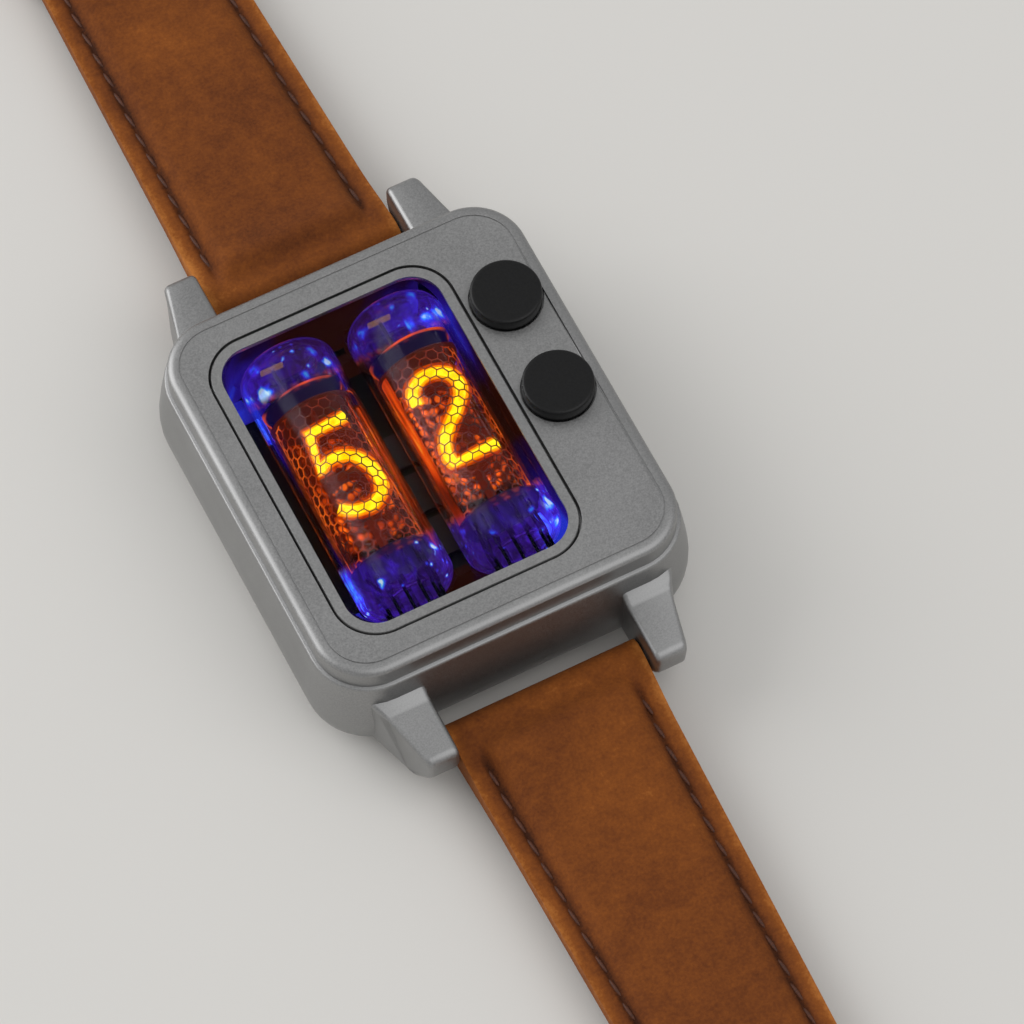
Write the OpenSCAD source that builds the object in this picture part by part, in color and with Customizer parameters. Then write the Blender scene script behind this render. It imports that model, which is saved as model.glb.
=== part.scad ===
// Wristwatch with two miniature gas-discharge digit tubes behind a flat crystal.
// Millimetres. X points to the buttons, Y to twelve o'clock, Z up out of the face.
// The origin is the middle of the case back, on the surface that the watch lies on.

/* [Case] */
// Width of the bezel
case_w = 44; // [42:0.5:54]
// Length of the bezel
case_l = 48.8; // [46:0.2:60]
// Height from the case back to the top face
case_h = 17; // [16.6:0.1:22]
// Corner radius of the bezel
case_r = 6.3; // [5:0.1:8]
// Height of the bezel above the middle case
bezel_h = 3; // [2.6:0.1:4]
// Step from the bezel out to the middle case
ledge_w = 0.45; // [0.2:0.05:1]
// How far the middle case swells outwards below the step
case_flare = 0.95; // [0.3:0.05:1.6]
// Thickness of the screwed case back
back_t = 1.8; // [1.4:0.1:2.4]
// Wall from the bezel's side to the cavity of the middle case
case_wall = 2.4; // [2:0.1:3]
// Distance of the fine line from the bezel's edge
line_inset = 1.35; // [1:0.05:2]

/* [Window] */
// Margin from the left edge of the bezel to the window ring
margin_left = 3.65; // [3.2:0.05:5]
// Margin below and above the window ring
margin_end = 3.95; // [3.4:0.05:5]
// Width of the plain strip that holds the buttons
button_strip = 10.25; // [9.8:0.05:13]
// Visible width of the window ring
ring_w = 1.5; // [1.2:0.05:2]
// Open line between the ring and the bezel
ring_gap = 0.25; // [0.15:0.05:0.5]
// Thickness of the crystal
crystal_t = 1.5; // [1:0.1:2]

/* [Tubes] */
// Outside radius of a tube's glass
tube_r = 5.85; // [5.4:0.05:6.1]
// Wall of the glass
glass_t = 0.8; // [0.5:0.1:1]
// Distance between the two tube axes
tube_pitch = 13.5; // [12.6:0.1:14]
// Middle of the pair, left of the case's middle
pair_x = -1.5; // [-2.5:0.1:-1]
// Height of a digit
digit_h = 12.2; // [9:0.1:12.6]
// Width of a digit
digit_w = 6; // [4.5:0.1:6.4]
// Distance across one honeycomb cell
cell = 1.25; // [1:0.05:2]

/* [Buttons] */
// Diameter of a button cap
button_d = 8.2; // [6:0.1:8.6]
// How far a cap stands above the bezel
button_proud = 1.75; // [1.2:0.05:2.5]
// Travel of a button
button_travel = 0.5; // [0.2:0.05:0.6]
// Height of the upper button on the face
button_y = 11.2; // [9:0.1:12]
// Distance between the two buttons
button_pitch = 12.9; // [10:0.1:14]

/* [Strap] */
// Width of the strap at the lugs
strap_w = 23.8; // [20:0.1:24]
// How much narrower the strap is at the buckle
strap_taper = 3.8; // [2:0.1:6]
// Thickness of the stitched margin
strap_t = 2.2; // [1.8:0.1:3]
// Height of the padding above the margin near the lugs
pad_h = 1.7; // [0.8:0.1:2.2]
// Bar to buckle length of the twelve o'clock half
short_l = 75; // [70:1:95]
// Bar to tip length of the six o'clock half
long_l = 115; // [110:1:135]
// Distance from a bar to where that half flexes
flex_s = 36; // [30:1:40]
// Distance from the bezel's end to a spring bar
bar_out = 6.1; // [5.2:0.1:8]
// Height of a spring bar above the table
bar_z = 5.4; // [5.2:0.1:6.4]

/* [Fits] */
// Radial clearance of a turning pin in its hole
pin_fit = 0.05; // [0.02:0.01:0.1]
// Radial clearance of a button stem in its bush
stem_fit = 0.04; // [0.02:0.01:0.08]
// Play between loose parts
play = 0.1; // [0.05:0.01:0.2]

/* [Hidden] */
$fn = 48;
eps = 0.01;

// case levels and outlines
bezel_z = case_h - bezel_h;
mid_w = case_w + 2*(ledge_w + case_flare);
mid_l = case_l + 2*(ledge_w + case_flare);
mid_r = case_r + ledge_w + case_flare;
cavity_w = case_w - 2*case_wall;
cavity_l = case_l - 2*case_wall;
cavity_r = 4.2;
back_inset = 2.5;
gasket_w = 0.7;
gasket_t = 0.5;

// screws through the corners
post_r = 1.55;
post_x = cavity_w/2 - 1.6;
post_y = cavity_l/2 - 1.6;
screw_r = 0.7;
screw_head_r = 1.05;
screw_head_t = 0.9;

// window
win_x = (-case_w/2 + margin_left + case_w/2 - button_strip)/2;
ring_out_w = case_w - margin_left - button_strip;
ring_out_l = case_l - 2*margin_end;
ring_r = 5.3;
flange = 1.05;
flange_top = case_h - 1.4;
flange_bottom = flange_top - 1;
lip_t = 0.4;
seat_w = 0.6;
crystal_seal_t = 0.2;
crystal_top = case_h - lip_t - crystal_seal_t;
win_w = ring_out_w - 2*ring_w;
win_l = ring_out_l - 2*ring_w;
win_r = ring_r - ring_w;

// tubes
tube_z = crystal_top - crystal_t - 0.4 - tube_r;
tube_bottom = -14.5;
tube_top = 19.6;
tube_round = 2.4;
mesh_r = tube_r - glass_t - 0.35;
mesh_t = 0.15;
mesh_top = 10.9;
mesh_bottom = -9.2;
disc_t = 0.2;
digit_y = 2.6;
lead_r = 0.2;
lead_ring = tube_r - glass_t - 1.65;
stack_gap = 0.23;
stack_top = sqrt((mesh_r - mesh_t)^2 - (digit_w/2 + 0.1)^2) - stack_gap;
cathode_t = 0.2;

// inner block
board_t = 1;
board_z = back_t + 0.6;
board_top = board_z + board_t;
cradle_wall = 0.8;
cradle_x0 = pair_x - tube_pitch/2 - tube_r - 3.2;
cradle_x1 = pair_x + tube_pitch/2 + tube_r + 1.1;
cradle_y0 = tube_bottom - 5.2;
cradle_y1 = tube_top + 1.6;
cradle_r = 6.4;
cell_x0 = cradle_x1 + 0.4;
cell_w = cavity_w/2 - 0.4 - cell_x0;
cell_l = 31;
cell_h = 6.2;
cell_z = board_top + 0.2;

// buttons and switches
button_x = case_w/2 - 5.65;
stem_r = 1.5;
bush_r = stem_r + stem_fit;
cap_play = 0.2;
well_t = button_travel + 0.4;
cap_sink = 0.1;
stem_bottom = bezel_z - 1.1;
clip_t = 0.4;
switch_h = 1.4;
switch_bottom = stem_bottom - button_travel - 0.1 - switch_h;
button_board_t = 0.8;
button_board_z = switch_bottom - button_board_t;

// lugs and spring bars
bar_y = case_l/2 + bar_out;
lug_in = strap_w/2 + 0.25;
lug_tip_w = 3.8;
lug_root_w = 6.2;
bar_r = 0.9;
tip_pin_r = 0.55;
lug_hole_r = tip_pin_r + pin_fit;
lug_hole_depth = 2;
tip_reach = 1.75;
tip_travel = 1.85;
tip_collar_t = 0.4;
bar_half = lug_in - 0.05 - tip_collar_t - tip_travel - 0.05;

// strap
strap_end_w = strap_w - strap_taper;
nose_r = 2.2;
margin_w = 2.3;
keeper_w = 6;
keeper_t = 1.2;
keeper_fixed_s = short_l - 11.4;
keeper_slide_s = keeper_fixed_s - 8.1;
keeper_travel = 9;
buckle_pin_r = 0.7;
keeper_gap = 0.1;
keeper_drop = strap_t/2 + keeper_gap + keeper_t;
tilt_short = atan((bar_z - keeper_drop - 0.03)/(keeper_fixed_s + keeper_w/2));
tilt_long = atan((bar_z - strap_t/2 - 0.02)/long_l);
hole_count = 7;
hole_pitch = 6.5;
hole_first = long_l - 21 - (hole_count - 1)*hole_pitch;

// ---------- shared shapes ----------

// Flat rectangle with round corners
module rounded(w, l, r) {
    square([w - 2*r, l], center = true);
    square([w, l - 2*r], center = true);
    for (x = [-1, 1], y = [-1, 1])
        translate([x*(w/2 - r), y*(l/2 - r)]) circle(r);
}

module slab(w, l, r, z0, z1) {
    translate([0, 0, z0]) linear_extrude(z1 - z0) rounded(w, l, r);
}

// Solid with round corners whose side follows a profile of [inset, height] points
module profiled(w, l, r, side) {
    bottom = side[0][1];
    top = side[len(side) - 1][1];
    outline = concat([[0, bottom]], [for (p = side) [r - p[0], p[1]]], [[0, top]]);
    for (i = [0:3])
        rotate(90*i) {
            across = i % 2 == 0 ? w : l;
            along = i % 2 == 0 ? l : w;
            translate([across/2 - r, along/2 - r]) rotate_extrude(angle = 90) polygon(outline);
            translate([across/2 - r, along/2 - r]) rotate([90, 0, 0])
                linear_extrude(along - 2*r) polygon(outline);
        }
    translate([0, 0, (bottom + top)/2])
        cube([w - 2*r, l - 2*r, top - bottom], center = true);
}

module x_cylinder(r, x0, x1) {
    translate([x0, 0, 0]) rotate([0, 90, 0]) cylinder(r = r, h = x1 - x0);
}

module y_cylinder(r, y0, y1) {
    translate([0, y0, 0]) rotate([-90, 0, 0]) cylinder(r = r, h = y1 - y0);
}

module block(x0, x1, y0, y1, z0, z1) {
    translate([x0, y0, z0]) cube([x1 - x0, y1 - y0, z1 - z0]);
}

module at_posts() {
    for (x = [-1, 1], y = [-1, 1]) translate([x*post_x, y*post_y, 0]) children();
}

module gasket(w, l, r, z0, z1) {
    difference() {
        slab(w, l, r, z0, z1);
        slab(w - 2*gasket_w, l - 2*gasket_w, r - gasket_w, z0 - eps, z1 + eps);
    }
}

// ---------- case ----------

// One lug that leaves the end wall level, ends in an upright face and tucks in under the bar
module lug() {
    root_y = case_l/2 - 1;
    intersection() {
        rotate([90, 0, 90]) linear_extrude(mid_w) polygon([
            [root_y, bar_z - 2.6], [bar_y - 2.5, bar_z - 2.4], [bar_y + 0.5, bar_z - 2.2],
            [bar_y + 1.6, bar_z - 1.7], [bar_y + 2.4, bar_z - 0.7], [bar_y + 3.2, bar_z + 0.8],
            [bar_y + 3.5, bar_z + 1.7], [bar_y + 3.5, bar_z + 3.4], [bar_y + 3.3, bar_z + 4.2],
            [bar_y + 2.7, bar_z + 4.7], [bar_y + 1.6, bar_z + 4.9], [bar_y - 3, bar_z + 5.1],
            [root_y, bar_z + 5.6]
        ]);
        linear_extrude(case_h) polygon([
            [lug_in, root_y], [lug_in + lug_root_w, root_y],
            [lug_in + lug_root_w - 0.4, root_y + 2.4], [lug_in + lug_root_w - 1, bar_y - 2],
            [lug_in + lug_tip_w, bar_y + 2.4], [lug_in + lug_tip_w - 0.8, bar_y + 3.6],
            [lug_in + 0.4, bar_y + 3.6], [lug_in, bar_y + 3.1]
        ]);
    }
}

module midcase_outside() {
    swell = case_flare;
    profiled(mid_w, mid_l, mid_r, [
        [back_inset - 0.2, back_t],
        [1.55, back_t + 0.4],
        [0.85, back_t + 1.1],
        [0.3, back_t + 2.2],
        [0.05, back_t + 3.4],
        [0, back_t + 4.7],
        [0.1*swell, back_t + 6.2],
        [0.35*swell, back_t + 8.2],
        [0.7*swell, back_t + 10.2],
        [0.95*swell, bezel_z - 0.2],
        [swell + 0.15, bezel_z]
    ]);
}

module midcase() {
    color("dimgray") difference() {
        union() {
            difference() {
                union() {
                    midcase_outside();
                    for (x = [0, 1], y = [0, 1])
                        mirror([x, 0, 0]) mirror([0, y, 0]) lug();
                }
                slab(cavity_w, cavity_l, cavity_r, back_t - eps, bezel_z + eps);
            }
            at_posts() translate([0, 0, back_t]) cylinder(r = post_r, h = bezel_z - back_t);
        }
        at_posts() translate([0, 0, back_t - 1])
            cylinder(r = screw_r + play, h = bezel_z - back_t + 2);
        for (y = [-1, 1]) translate([0, y*bar_y, bar_z])
            x_cylinder(lug_hole_r, -lug_in - lug_hole_depth, lug_in + lug_hole_depth);
        gasket(case_w - 1.2, case_l - 1.2, case_r - 0.6, bezel_z - gasket_t, bezel_z + eps);
        gasket(case_w - 3, case_l - 3, case_r - 1.5, back_t - eps, back_t + gasket_t);
    }
}

module bezel_gasket() {
    color("black") gasket(case_w - 1.2, case_l - 1.2, case_r - 0.6, bezel_z - gasket_t, bezel_z);
}

module back_gasket() {
    color("black") gasket(case_w - 3, case_l - 3, case_r - 1.5, back_t, back_t + gasket_t);
}

module bezel() {
    line_w = 0.16;
    color("darkgray") difference() {
        profiled(case_w, case_l, case_r, [
            [0, bezel_z],
            [0, case_h - 0.62],
            [0.12, case_h - 0.36],
            [0.4, case_h - 0.14],
            [0.8, case_h - 0.03],
            [line_inset - 0.1, case_h]
        ]);
        difference() {
            slab(case_w - 2*line_inset, case_l - 2*line_inset, case_r - line_inset,
                case_h - 0.12, case_h + 1);
            slab(case_w - 2*line_inset - 2*line_w, case_l - 2*line_inset - 2*line_w,
                case_r - line_inset - line_w, case_h - 0.5, case_h + 2);
        }
        translate([win_x, 0, 0]) {
            slab(ring_out_w, ring_out_l, ring_r, flange_top - eps, case_h + 1);
            slab(ring_out_w + 2*flange + play, ring_out_l + 2*flange + play,
                ring_r + flange, bezel_z - 1, flange_top);
        }
        for (i = [0, 1]) translate([button_x, button_y - i*button_pitch, 0]) {
            translate([0, 0, case_h - well_t]) cylinder(r = button_d/2 + cap_play, h = well_t + 1);
            translate([0, 0, bezel_z - 1]) cylinder(r = bush_r, h = bezel_h + 1);
        }
        at_posts() translate([0, 0, bezel_z - 1]) cylinder(r = screw_r + 0.02, h = 2.6);
    }
}

module window_ring() {
    color("silver") translate([win_x, 0, 0]) difference() {
        union() {
            profiled(ring_out_w - 2*ring_gap, ring_out_l - 2*ring_gap, ring_r - ring_gap,
                [[0, flange_bottom], [0, case_h - 0.12], [0.12, case_h]]);
            slab(ring_out_w + 2*flange - play, ring_out_l + 2*flange - play,
                ring_r + flange - play/2, flange_bottom, flange_top);
        }
        slab(win_w, win_l, win_r, flange_bottom - 1, case_h + 1);
        slab(win_w + 2*seat_w, win_l + 2*seat_w, win_r + seat_w,
            flange_bottom - 1, case_h - lip_t);
    }
}

module crystal() {
    grip = 2*seat_w - play;
    color("lightblue", 0.4) translate([win_x, 0, 0])
        slab(win_w + grip, win_l + grip, win_r + grip/2, crystal_top - crystal_t, crystal_top);
}

module crystal_gasket() {
    grip = 2*seat_w - play;
    color("black") translate([win_x, 0, 0]) difference() {
        slab(win_w + grip, win_l + grip, win_r + grip/2, crystal_top, case_h - lip_t);
        slab(win_w + 0.2, win_l + 0.2, win_r + 0.1, crystal_top - 1, case_h);
    }
}

module case_back() {
    w = mid_w - 2*back_inset;
    l = mid_l - 2*back_inset;
    color("gray") difference() {
        profiled(w, l, mid_r - back_inset, [
            [0.6, 0], [0.25, 0.2], [0.08, 0.5], [0, 0.9], [0, back_t]
        ]);
        at_posts() {
            translate([0, 0, -1]) cylinder(r = screw_r + play, h = back_t + 2);
            translate([0, 0, -1]) cylinder(r = screw_head_r + play, h = screw_head_t + 1.15);
        }
        for (x = [-1, 1]) translate([x*4, 0, -1])
            cylinder(r = 0.8 + play/2, h = back_t + 2);
    }
}

module case_screws() {
    color("silver") at_posts() difference() {
        union() {
            translate([0, 0, 0.15]) cylinder(r = screw_head_r, h = screw_head_t);
            translate([0, 0, 0.15]) cylinder(r = screw_r, h = bezel_z + 1.2);
        }
        translate([0, 0, 0.1]) cube([0.4, 3, 0.8], center = true);
    }
}

module charge_pins() {
    color("gold") for (x = [-1, 1]) translate([x*4, 0, 0.05]) {
        cylinder(r = 0.8, h = board_z - 0.05);
    }
}

// ---------- inner block ----------

module cradle_outline(grow) {
    translate([(cradle_x0 + cradle_x1)/2, (cradle_y0 + cradle_y1)/2])
        rounded(cradle_x1 - cradle_x0 + 2*grow, cradle_y1 - cradle_y0 + 2*grow, cradle_r + grow);
}

// Black frame that holds both tubes on four saddles under the window
module tube_cradle() {
    saddles = [tube_bottom + 1.4, tube_top - 2.6];
    color([0.06, 0.06, 0.07]) difference() {
        union() {
            translate([0, 0, board_top]) linear_extrude(flange_bottom - board_top)
                difference() {
                    cradle_outline(0);
                    cradle_outline(-cradle_wall);
                }
            for (y = saddles)
                block(cradle_x0 + 0.4, cradle_x1 - 0.4, y - 0.5, y + 0.5, board_top, tube_z - 1);
            for (x = [-2.5, 2.5], y = [cradle_y0 + 1.9, cradle_y1 - 1.3])
                translate([pair_x + x, y, board_top]) cylinder(r = 1, h = 4);
        }
        for (side = [-1, 1]) translate([pair_x + side*tube_pitch/2, 0, tube_z])
            y_cylinder(tube_r + play, tube_bottom - 0.2, tube_top + 0.4);
        for (x = [-2.5, 2.5], y = [cradle_y0 + 1.9, cradle_y1 - 1.3])
            translate([pair_x + x, y, board_top - 1]) cylinder(r = 0.52, h = 4);
    }
}

module cradle_screws() {
    color("silver") for (x = [-2.5, 2.5], y = [cradle_y0 + 1.9, cradle_y1 - 1.3])
        translate([pair_x + x, y, board_z - 0.4]) {
            cylinder(r = 0.9, h = 0.4);
            cylinder(r = 0.5, h = 3.6);
        }
}

module main_board() {
    color("darkgreen") difference() {
        slab(cavity_w - 0.6, cavity_l - 0.6, cavity_r - 0.3, board_z, board_top);
        at_posts() translate([0, 0, board_z - 1]) cylinder(r = post_r + 0.25, h = 3);
        for (x = [-1, 1], y = [-1, 1])
            translate([x*(cavity_w/2 + 0.4), y*(cavity_l/2 + 0.4), board_z - 1])
                cube([5.2, 5.2, 6], center = true);
        for (side = [-1, 1])
            block(pair_x + side*tube_pitch/2 - 3.2, pair_x + side*tube_pitch/2 + 3.2,
                tube_bottom - 0.5, tube_top + 0.5, board_z - 1, board_top + 1);
        for (x = [-2.5, 2.5], y = [cradle_y0 + 1.9, cradle_y1 - 1.3])
            translate([pair_x + x, y, board_z - 1]) cylinder(r = 0.55, h = 3);
    }
}

module controller_chip() {
    color([0.1, 0.1, 0.1]) block(pair_x - 2.2, pair_x + 2.2, 3, 7.4, board_top, board_top + 0.9);
}

module driver_chips() {
    color([0.1, 0.1, 0.1]) for (y = [-9, -3])
        block(pair_x - 2, pair_x + 2, y, y + 5, board_top, board_top + 0.8);
}

// Wound choke of the high-voltage converter, a drum between two flanges
module boost_inductor() {
    color([0.2, 0.15, 0.1]) translate([cell_x0 + 1.7, -(cell_l/2 + 2.2), board_top]) {
        cylinder(r = 1.6, h = 0.5);
        cylinder(r = 1.25, h = 2.6);
        translate([0, 0, 2.4]) cylinder(r = 1.6, h = 0.5);
    }
}

module hv_capacitor() {
    color("saddlebrown") block(cradle_x0 + 0.3 - 1.9, cradle_x0 - 0.3, -6, -0.5,
        board_top, board_top + 2.4);
}

module backlight_leds() {
    left = cradle_x0 + cradle_wall + 1.1;
    right = cradle_x1 - cradle_wall - 1;
    color("deepskyblue") for (x = [left, right], y = [tube_bottom + 3.7, tube_top - 5])
        block(x - 0.7, x + 0.7, y - 1.6, y + 1.6, board_top, board_top + 1);
}

module battery() {
    color("lightgray") block(cell_x0, cell_x0 + cell_w, -cell_l/2, cell_l/2, cell_z, cell_z + cell_h);
}

module battery_pad() {
    color([0.15, 0.15, 0.15]) block(cell_x0 + 0.5, cell_x0 + cell_w - 0.5, -cell_l/2 + 2, cell_l/2 - 2,
        board_top, cell_z);
}

module battery_leads() {
    color("firebrick") for (x = [3.6, 5]) translate([cell_x0 + x, 0, cell_z + 3]) {
        y_cylinder(0.35, cell_l/2, cell_l/2 + 1);
        translate([0, cell_l/2 + 1, 0]) sphere(0.35);
        translate([0, cell_l/2 + 1, board_top - cell_z - 3]) cylinder(r = 0.35, h = cell_z + 3 - board_top);
    }
}

module button_board() {
    y0 = button_y - button_pitch - 3;
    color("darkgreen") block(cell_x0, cell_x0 + cell_w, y0, cell_l/2 + 2.2,
        button_board_z, button_board_z + button_board_t);
}

// Pin header that carries the button board on the main board
module board_link() {
    color([0.1, 0.1, 0.1]) block(cell_x0 + 0.2, cell_x0 + 2.6, cell_l/2 + 0.8, cell_l/2 + 1.9,
        board_top, button_board_z);
}

// ---------- tubes ----------

module at_tube(side) {
    translate([pair_x + side*tube_pitch/2, 0, tube_z]) children();
}

module glass_half(r, y0, y1, round_r) {
    translate([0, y0]) square([r - round_r, y1 - y0]);
    translate([0, y0 + round_r]) square([r, y1 - y0 - 2*round_r]);
    for (y = [y0 + round_r, y1 - round_r]) translate([r - round_r, y]) circle(round_r);
}

module tube_glass() {
    color("lightcyan", 0.3) difference() {
        rotate([-90, 0, 0]) rotate_extrude() difference() {
            glass_half(tube_r, tube_bottom, tube_top, tube_round);
            glass_half(tube_r - glass_t, tube_bottom + 1.6, tube_top - glass_t,
                tube_round - glass_t);
        }
        for (a = [15:30:345]) translate([lead_ring*cos(a), 0, lead_ring*sin(a)])
            y_cylinder(lead_r + 0.03, tube_bottom - 1, tube_bottom + 2);
    }
}

module honeycomb(w, l) {
    row = cell*sqrt(3)/2;
    for (j = [0:floor(l/row)], i = [-ceil(w/cell/2):ceil(w/cell/2)]) {
        x = (i + (j % 2)/2)*cell;
        if (abs(x) < w/2 && (j + 0.5)*row + cell*0.45 < l)
            translate([x, (j + 0.5)*row]) rotate(30) circle(cell*0.5, $fn = 6);
    }
}

// Etched sheet bent round the front of the digits
module anode_mesh() {
    color("orangered") difference() {
        intersection() {
            difference() {
                y_cylinder(mesh_r, mesh_bottom, mesh_top);
                y_cylinder(mesh_r - mesh_t, mesh_bottom - 1, mesh_top + 1);
            }
            block(-tube_r, tube_r, mesh_bottom - 1, mesh_top + 1, 0.6, tube_r);
        }
        translate([0, mesh_bottom, 0]) linear_extrude(tube_r) honeycomb(2*mesh_r - 1.6, mesh_top - mesh_bottom);
    }
}

module arc(r, w, a0, a1) {
    reach = 2*r + w;
    intersection() {
        difference() {
            circle(r + w/2);
            circle(r - w/2);
        }
        polygon(concat([[0, 0]], [for (i = [0:4]) let (a = a0 + (a1 - a0)*i/4) reach*[cos(a), sin(a)]]));
    }
}

module bar2d(x0, y0, x1, y1, w) {
    run = norm([x1 - x0, y1 - y0]);
    translate([x0, y0]) rotate(atan2(y1 - y0, x1 - x0)) translate([0, -w/2]) square([run, w]);
}

module numeral_five(w) {
    r = digit_w*0.5;
    top = digit_h/2;
    base = -digit_h/2;
    bar2d(-r*0.8, top - w/2, r*0.85, top - w/2, w);
    bar2d(-r*0.8, top, -r*0.9, top - 5.1, w);
    translate([0, base + r]) arc(r - w/2, w, -140, 140);
}

module numeral_two(w) {
    r = digit_w*0.5;
    top = digit_h/2;
    base = -digit_h/2;
    translate([0, top - r]) arc(r - w/2, w, -35, 165);
    turn = [(r - w/2)*cos(-35), top - r + (r - w/2)*sin(-35)];
    bar2d(turn[0], turn[1], -r*0.92, base + w/2, w);
    bar2d(-r, base + w/2, r, base + w/2, w);
}

module numeral_zero(w) {
    r = digit_w*0.5;
    for (s = [-1, 1]) {
        translate([0, s*(digit_h/2 - r)]) arc(r - w/2, w, s*90 - 90, s*90 + 90);
        translate([s*(r - w/2), 0]) square([w, digit_h - 2*r], center = true);
    }
}

module numeral_three(w) {
    r = digit_h/4 + w/4;
    for (s = [-1, 1]) translate([0, s*(digit_h/2 - r)]) arc(r - w/2, w, -130 + (1 - s)*0, 130);
}

module numeral_eight(w) {
    r = digit_h/4 + w/4;
    for (s = [-1, 1]) translate([0, s*(digit_h/2 - r)]) difference() {
        circle(r);
        circle(r - w);
    }
}

// Post of a cathode from its numeral down to the lower disc and up to the upper one
module cathode_posts(w) {
    lower = mesh_bottom - digit_y;
    upper = mesh_top - digit_y;
    translate([-w/2, lower]) square([w, -digit_h/2 - lower + w]);
    translate([-w/2, digit_h/2 - w]) square([w, upper - digit_h/2 + w]);
}

// A stamped numeral whose front lies at a depth below the top of the stack
module cathode(depth) {
    translate([0, digit_y, stack_top - depth - cathode_t]) linear_extrude(cathode_t) {
        children();
        cathode_posts(0.45);
    }
}

module lit_digit_left() {
    color("yellow") at_tube(-1) cathode(0) numeral_five(0.7);
}

module lit_digit_right() {
    color("yellow") at_tube(1) cathode(0) numeral_two(0.7);
}

module cathodes() {
    color("orangered") {
        cathode(0.9) numeral_zero(0.4);
        cathode(1.8) numeral_three(0.4);
        cathode(2.7) numeral_eight(0.4);
        cathode(3.6) numeral_three(0.4);
    }
}

// Insulating discs and side rods that hold the stack inside the glass
module stack_frame() {
    disc_r = tube_r - glass_t - 0.08;
    rod_z = stack_top - 4.3;
    rod_x = min(mesh_r - 0.6, sqrt(pow(disc_r - 0.4, 2) - rod_z*rod_z));
    color("lightsteelblue") {
        for (y = [mesh_bottom - disc_t - 0.05, mesh_top + 0.05, mesh_top + 2.2])
            y_disc(disc_r, y);
        for (x = [-1, 1]) translate([x*rod_x, 0, rod_z])
            y_cylinder(0.3, mesh_bottom - 0.1, mesh_top + 2.3);
    }
}

module y_disc(r, y) {
    y_cylinder(r, y, y + disc_t);
}

module tube_leads() {
    foot = board_top - tube_z;
    color("silver") for (side = [-1, 1], a = [15:30:345]) at_tube(side) {
        x = lead_ring*cos(a);
        z = lead_ring*sin(a);
        bend = tube_bottom - (z > 0 ? 2.6 : 1.3);
        translate([x, 0, z]) {
            y_cylinder(lead_r, bend, mesh_bottom - disc_t - 0.1);
            translate([0, bend, 0]) sphere(lead_r);
        }
        translate([x, bend, foot]) cylinder(r = lead_r, h = z - foot);
    }
}

module getters() {
    y = tube_top - 2.3;
    color("saddlebrown") for (side = [-1, 1]) at_tube(side) {
        block(-0.66*mesh_r, -0.1*mesh_r, y, y + 0.3, 0.5*mesh_r, 0.68*mesh_r);
        translate([-0.38*mesh_r, 0, 0.59*mesh_r]) y_cylinder(0.2, mesh_top + 2.2 + disc_t, y + 0.1);
    }
}

// ---------- buttons ----------

module at_button(i) {
    translate([button_x, button_y - i*button_pitch, 0]) children();
}

module button() {
    top = case_h + button_proud;
    cap_bottom = case_h - cap_sink;
    seal_z = case_h - well_t - 0.75;
    color([0.05, 0.05, 0.05]) difference() {
        union() {
            rotate_extrude() polygon([
                [0, cap_bottom], [button_d/2 - 0.15, cap_bottom], [button_d/2, cap_bottom + 0.15],
                [button_d/2, top - 0.2], [button_d/2 - 0.2, top], [0, top]
            ]);
            translate([0, 0, stem_bottom]) cylinder(r = stem_r, h = cap_bottom - stem_bottom + 0.1);
        }
        translate([0, 0, seal_z - 0.27]) ring_cut(stem_r + 1, 1, 0.54);
        translate([0, 0, bezel_z - clip_t - 0.05]) ring_cut(stem_r + 1, 1.1, clip_t);
    }
}

module ring_cut(r_out, r_in, h) {
    difference() {
        cylinder(r = r_out, h = h);
        translate([0, 0, -1]) cylinder(r = r_in, h = h + 2);
    }
}

module seal() {
    color("dimgray") translate([0, 0, case_h - well_t - 0.75])
        rotate_extrude() translate([1.26, 0]) circle(0.25, $fn = 24);
}

// Spring clip in the groove of the stem, below the bush
module clip() {
    color("silver") translate([0, 0, bezel_z - clip_t - 0.05]) difference() {
        cylinder(r = 2.4, h = clip_t);
        translate([0, 0, -1]) cylinder(r = 1.12, h = 2);
        translate([0, 2, 0]) cube([1.6, 4, 2], center = true);
    }
}

module plunger() {
    color("black") translate([0, 0, stem_bottom - 1]) cylinder(r = 0.8, h = 1);
}

module switch() {
    color("lightgray") difference() {
        block(-1.9, 1.9, -1.9, 1.9, switch_bottom, switch_bottom + switch_h);
        translate([0, 0, switch_bottom + 0.3]) cylinder(r = 0.9, h = switch_h);
    }
}

// ---------- strap ----------

function strap_width(s) =
    strap_w - (strap_w - strap_end_w)*min(s, short_l)/short_l;
function pad_height(s) = pad_h*(1 - 0.78*min(s, 90)/90);
function margin_top(s) = s < 9 ? nose_r - (nose_r - strap_t/2)*s/9 : strap_t/2;

// Moves a strap half from its own frame, with Y along the strap from its bar
module at_strap(side) {
    tilt = side > 0 ? tilt_short : tilt_long;
    translate([0, side*bar_y, bar_z]) rotate(side > 0 ? 0 : 180) rotate([-tilt, 0, 0]) children();
}

module pad_section(s, draw_in) {
    a = strap_width(s)/2 - margin_w - draw_in;
    c = pad_height(s);
    base = margin_top(s) - 0.3;
    translate([0, s, 0]) rotate([90, 0, 0]) linear_extrude(0.01, center = true)
        polygon([[-a, base], [-a + 0.5, base + 0.3 + 0.5*c], [-a + 1.6, base + 0.3 + 0.84*c],
            [-a + 4, base + 0.3 + c], [a - 4, base + 0.3 + c], [a - 1.6, base + 0.3 + 0.84*c],
            [a - 0.5, base + 0.3 + 0.5*c], [a, base]]);
}

module padding(stations) {
    for (i = [0:len(stations) - 2]) hull() {
        pad_section(stations[i], 0);
        pad_section(stations[i + 1], stations[i + 1] > short_l ? 1.2 : 0);
    }
}

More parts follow.
